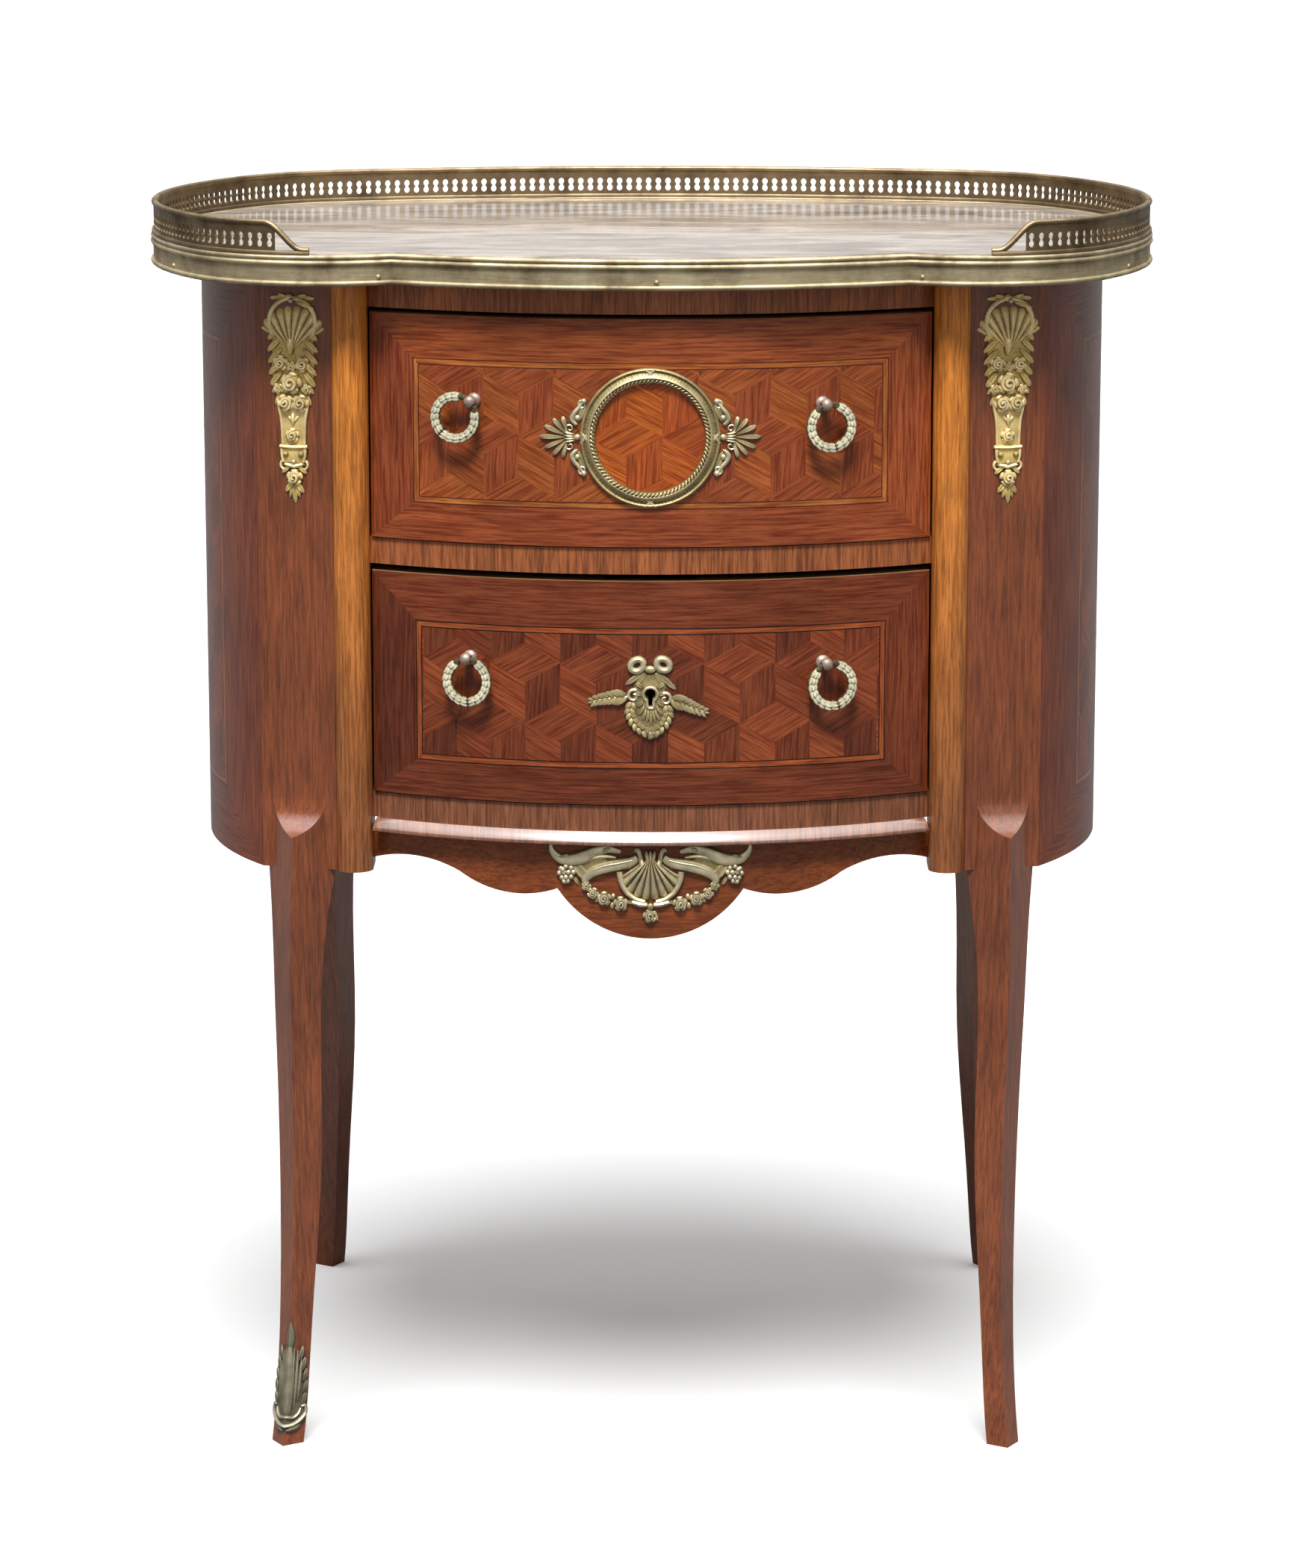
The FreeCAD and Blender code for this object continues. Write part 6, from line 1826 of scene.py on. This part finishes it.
class NIGHTSTAND_OT_shoe(bpy.types.Operator):
    """Makes the bronze shoe on the front left foot"""

    bl_idname = "nightstand.shoe"
    bl_label = "Foot shoe"

    def execute(self, context):
        bm = new_mesh()
        shoe_ground(bm)
        lobe(bm, (0, 14.0, 0.8), (0, 66.0, 0.4), 9.0, 1.9, taper=-0.2, point=0.7, sides=16, rings=12)
        lobe(bm, (0, 56.0, 0.2), (0, 75.0, 0.0), 8.0, 1.6, taper=0.1, point=0.8)
        for hand in BOTH:
            shoe_leaves(bm, hand)
            shoe_scrolls(bm, hand)
        make_piece("foot_shoe", bm, on_foot, "patinated_bronze", "carcass", ["left_sabot"])
        return {"FINISHED"}


class NIGHTSTAND_OT_ring_studs(bpy.types.Operator):
    """Makes the studs of the ring pulls: a pierced bead on a turned foot, with a shank through the front"""

    bl_idname = "nightstand.ring_studs"
    bl_label = "Ring studs"

    def execute(self, context):
        outside = arc_points((0, 0), BEAD_RADIUS, -BEAD_MOUTH, BEAD_MOUTH, 12)
        bead = outside + [(EYE_RADIUS, 0.0), outside[0]]
        foot = [(reach, along - STUD_STAND_OFF) for reach, along in STUD_FOOT]
        for level in LEVELS:
            bm = new_mesh()
            for side, _ in SIDES:
                place = on_ring(f"{level}_{side}_ring", at_eye=True)
                turned(bm, bead, (1, 0, 0), (0, 0, 1), place)
                turned(bm, foot, (0, 0, 1), (1, 0, 0), place)
            make_piece(
                f"{level}_bead_studs", bm, None, "stud_bronze", f"{level}_drawer",
                [f"{level}_ring_studs"])
        return {"FINISHED"}


def ring_wire(bm):
    """Wire of a ring: thin where it passes the stud, thicker under the leaves."""

    def place(s, t):
        turn, roll = 2 * math.pi * s, 2 * math.pi * t
        from_stud = abs((turn - math.pi / 2 + math.pi) % (2 * math.pi) - math.pi)
        full = min(1.0, max(0.0, (from_stud - 0.25) * 4))
        reach = RING_RADIUS - 0.4 * full + (WIRE_RADIUS + 0.7 * full) * math.cos(roll)
        # The wire gets no relief, the darkest hollow colour: painted shade where it shows between the leaves
        return polar(reach, turn, (WIRE_RADIUS + 0.1 * full) * math.sin(roll)), 0.0

    sheet(bm, 48, 8, place)


def laurel(bm, leaves):
    """Laurel leaves on both faces of a ring, in threes, from the stud down to the lowest point."""
    front = new_mesh()
    middle = RING_RADIUS - 0.4
    for k in range(leaves):
        for hand in BOTH:
            turn = math.pi / 2 + hand * (0.42 + (math.pi - 0.62) * k / leaves)
            for off, rise in ((1.8, 1.2), (-1.8, 1.2), (0.0, 1.9)):
                start = polar(middle + off * 0.5, turn, 0.2)
                end = polar(middle + off * 1.15, turn + hand * 0.5, rise)
                lobe(front, start, end, 3.8, 1.4, taper=0.3, point=0.45, sides=8, rings=6)
    rear = front.copy()
    bmesh.ops.scale(rear, verts=rear.verts[:], vec=(1, 1, -1))
    bmesh.ops.reverse_faces(rear, faces=rear.faces[:])
    join(bm, front)
    join(bm, rear)


class NIGHTSTAND_OT_ring_pulls(bpy.types.Operator):
    """Makes the four ring pulls, each a wreath of laurel leaves"""

    bl_idname = "nightstand.ring_pulls"
    bl_label = "Ring pulls"

    def execute(self, context):
        for level in LEVELS:
            for side, _ in SIDES:
                name = f"{level}_{side}_ring"
                bm = new_mesh()
                ring_wire(bm)
                laurel(bm, context.scene.nightstand_sizes.laurel_leaves)
                make_piece(
                    f"{level}_{side}_laurel_ring", bm, on_ring(name), "gilded_laurel_bronze", name + "_pull",
                    [name])
        return {"FINISHED"}


def floor_paint(colour):
    """Matt white floor paint: white to the camera where no shadow falls.

    Bounced light and reflections see a dimmer floor, so that it neither lights the front nor pales the sides.
    """
    paint, tree, shader = new_material("matt_floor_paint", {"Roughness": 0.9, "Specular IOR Level": 0.1})
    rays = add_node(tree, "LightPath", {}, {}).outputs
    inputs = {0: rays["Is Glossy Ray"], 6: grey(FLOOR_BOUNCE), 7: grey(FLOOR_MIRROR)}
    dim = add_node(tree, "Mix", MIX, inputs).outputs[2]
    inputs = {0: rays["Is Camera Ray"], 6: dim, 7: colour}
    tree.links.new(add_node(tree, "Mix", MIX, inputs).outputs[2], shader.inputs["Base Color"])
    inputs = {0: rays["Is Camera Ray"], 1: FLOOR_GLOW}
    glow = add_node(tree, "Math", {"operation": "MULTIPLY"}, inputs).outputs[0]
    shader.inputs["Emission Color"].default_value = grey(1.0)
    tree.links.new(glow, shader.inputs["Emission Strength"])
    return paint


def make_floor(scene):
    """Wide floor that reaches far behind the object."""
    bm = bmesh.new()
    bmesh.ops.create_grid(bm, x_segments=1, y_segments=1, size=FLOOR_REACH)
    bmesh.ops.translate(bm, verts=bm.verts[:], vec=(0, FLOOR_REACH + FLOOR_FRONT, 0))
    mesh = bpy.data.meshes.new("floor")
    bm.to_mesh(mesh)
    bm.free()
    mesh.materials.append(floor_paint(scene.nightstand_colours.floor))
    floor = bpy.data.objects.new("floor", mesh)
    scene.collection.objects.link(floor)
    return floor


def mirrored_room(tree):
    """Brightness that polished surfaces see: a softbox above, grey beside and behind, dark in front.

    The wall behind is brighter above the horizon, where only the table top mirrors it.
    """
    around = add_node(tree, "TexCoord", {}, {}).outputs["Generated"]
    way = add_node(tree, "SeparateXYZ", {}, {0: around}).outputs

    def fade(axis, start, end, first, last):
        inputs = {0: way[axis], 1: start, 2: end, 3: first, 4: last}
        return add_node(tree, "MapRange", {"interpolation_type": "SMOOTHSTEP"}, inputs).outputs[0]

    room = fade("Y", -0.9, -0.2, ROOM_LEVEL, BACKDROP_LEVEL)
    softbox = fade("Z", 0.45, 0.75, 0.0, SOFTBOX_LEVEL)
    rise = fade("Z", 0.02, 0.12, 0.0, WALL_LEVEL)
    far = fade("Y", 0.5, 0.8, 0.0, 1.0)
    wall = add_node(tree, "Math", {"operation": "MULTIPLY"}, {0: rise, 1: far}).outputs[0]
    room = add_node(tree, "Math", {"operation": "MAXIMUM"}, {0: room, 1: wall}).outputs[0]
    return add_node(tree, "Math", {"operation": "MAXIMUM"}, {0: room, 1: softbox}).outputs[0]


def make_world(scene):
    """Studio round the object: white to the camera, dim to what it lights, and a room to what mirrors it."""
    world = bpy.data.worlds.new("studio")
    world.use_nodes = True
    tree = world.node_tree
    rays = add_node(tree, "LightPath", {}, {}).outputs
    inputs = {0: rays["Is Glossy Ray"], 1: mirrored_room(tree)}
    shiny = add_node(tree, "Math", {"operation": "MULTIPLY"}, inputs).outputs[0]
    inputs = {0: rays["Is Camera Ray"], 1: rays["Is Transmission Ray"]}
    seen = add_node(tree, "Math", {"operation": "MAXIMUM"}, inputs).outputs[0]
    soft = add_node(tree, "Math", {"operation": "MAXIMUM"}, {0: shiny, 1: AMBIENT_LEVEL}).outputs[0]
    level = add_node(tree, "Math", {"operation": "MAXIMUM"}, {0: seen, 1: soft}).outputs[0]
    background = tree.nodes["Background"]
    background.inputs["Color"].default_value = grey(1.0)
    tree.links.new(level, background.inputs["Strength"])
    scene.world = world


def make_sun(scene, floor, name, spot, spread, power, lights):
    """Soft studio light; the floor is lit from above only, so that the shadow stays under the nightstand."""
    lamp = bpy.data.lights.new(name, "SUN")
    lamp.angle = math.radians(spread)
    lamp.energy = power
    sun = bpy.data.objects.new(name, lamp)
    sun.location = spot
    sun.rotation_euler = (-Vector(spot)).to_track_quat("-Z", "Y").to_euler()
    scene.collection.objects.link(sun)
    # The fill from behind is soft, so that polished tops do not mirror it
    sun.visible_glossy = name != "back_fill"
    if lights != "everything":
        linked = bpy.data.collections.new(name + "_receivers")
        linked.objects.link(floor)
        linked.collection_objects[0].light_linking.link_state = "INCLUDE" if lights == "floor" else "EXCLUDE"
        sun.light_linking.receiver_collection = linked


def make_camera(scene):
    """Camera that sees the object as the photograph does."""
    camera = bpy.data.objects.new("camera", bpy.data.cameras.new("camera"))
    scene.collection.objects.link(camera)
    camera.location = CAMERA_PLACE
    camera.rotation_euler = (math.pi / 2 - CAMERA_PITCH, 0, CAMERA_TURN)
    camera.data.sensor_width = SENSOR
    camera.data.sensor_fit = "AUTO"
    camera.data.lens = SENSOR * CAMERA_FOCUS / PHOTO_HEIGHT
    camera.data.shift_y = CAMERA_SHIFT / PHOTO_HEIGHT
    scene.camera = camera


class NIGHTSTAND_OT_stage(bpy.types.Operator):
    """Sets the floor, the studio lights and the camera"""

    bl_idname = "nightstand.stage"
    bl_label = "Studio stage"

    def execute(self, context):
        scene = context.scene
        scene.view_settings.view_transform = "Standard"
        floor = make_floor(scene)
        make_world(scene)
        for sun in SUNS:
            make_sun(scene, floor, *sun)
        make_camera(scene)
        return {"FINISHED"}


STEPS = (
    NIGHTSTAND_OT_frame_finishes, NIGHTSTAND_OT_drawer_veneers, NIGHTSTAND_OT_side_veneers,
    NIGHTSTAND_OT_bottom_moulding, NIGHTSTAND_OT_rim, NIGHTSTAND_OT_gallery, NIGHTSTAND_OT_medallion,
    NIGHTSTAND_OT_escutcheon, NIGHTSTAND_OT_apron_mount, NIGHTSTAND_OT_chutes, NIGHTSTAND_OT_shoe,
    NIGHTSTAND_OT_ring_studs, NIGHTSTAND_OT_ring_pulls, NIGHTSTAND_OT_stage,
)


class NIGHTSTAND_PT_builder(bpy.types.Panel):
    """Lists the sizes, the colours and the steps that build the nightstand"""

    bl_idname = "NIGHTSTAND_PT_builder"
    bl_label = "Nightstand"
    bl_space_type = "VIEW_3D"
    bl_region_type = "UI"
    bl_category = "Nightstand"

    def draw(self, context):
        for group in (context.scene.nightstand_sizes, context.scene.nightstand_colours):
            for key in group.__annotations__:
                self.layout.prop(group, key)
        for step in STEPS:
            self.layout.operator(step.bl_idname)


CLASSES = (NightstandSizes, NightstandColours, *STEPS, NIGHTSTAND_PT_builder)


def register():
    """Registers the classes and the scene's sizes and colours."""
    for kind in CLASSES:
        bpy.utils.register_class(kind)
    bpy.types.Scene.nightstand_sizes = bpy.props.PointerProperty(type=NightstandSizes)
    bpy.types.Scene.nightstand_colours = bpy.props.PointerProperty(type=NightstandColours)


def unregister():
    """Takes everything out again."""
    del bpy.types.Scene.nightstand_colours
    del bpy.types.Scene.nightstand_sizes
    for kind in reversed(CLASSES):
        bpy.utils.unregister_class(kind)


def main():
    """Builds the nightstand."""
    register()
    for step in STEPS:
        getattr(bpy.ops.nightstand, step.bl_idname.split(".")[1])()
    bpy.context.view_layer.update()


if __name__ == "__main__":
    main()
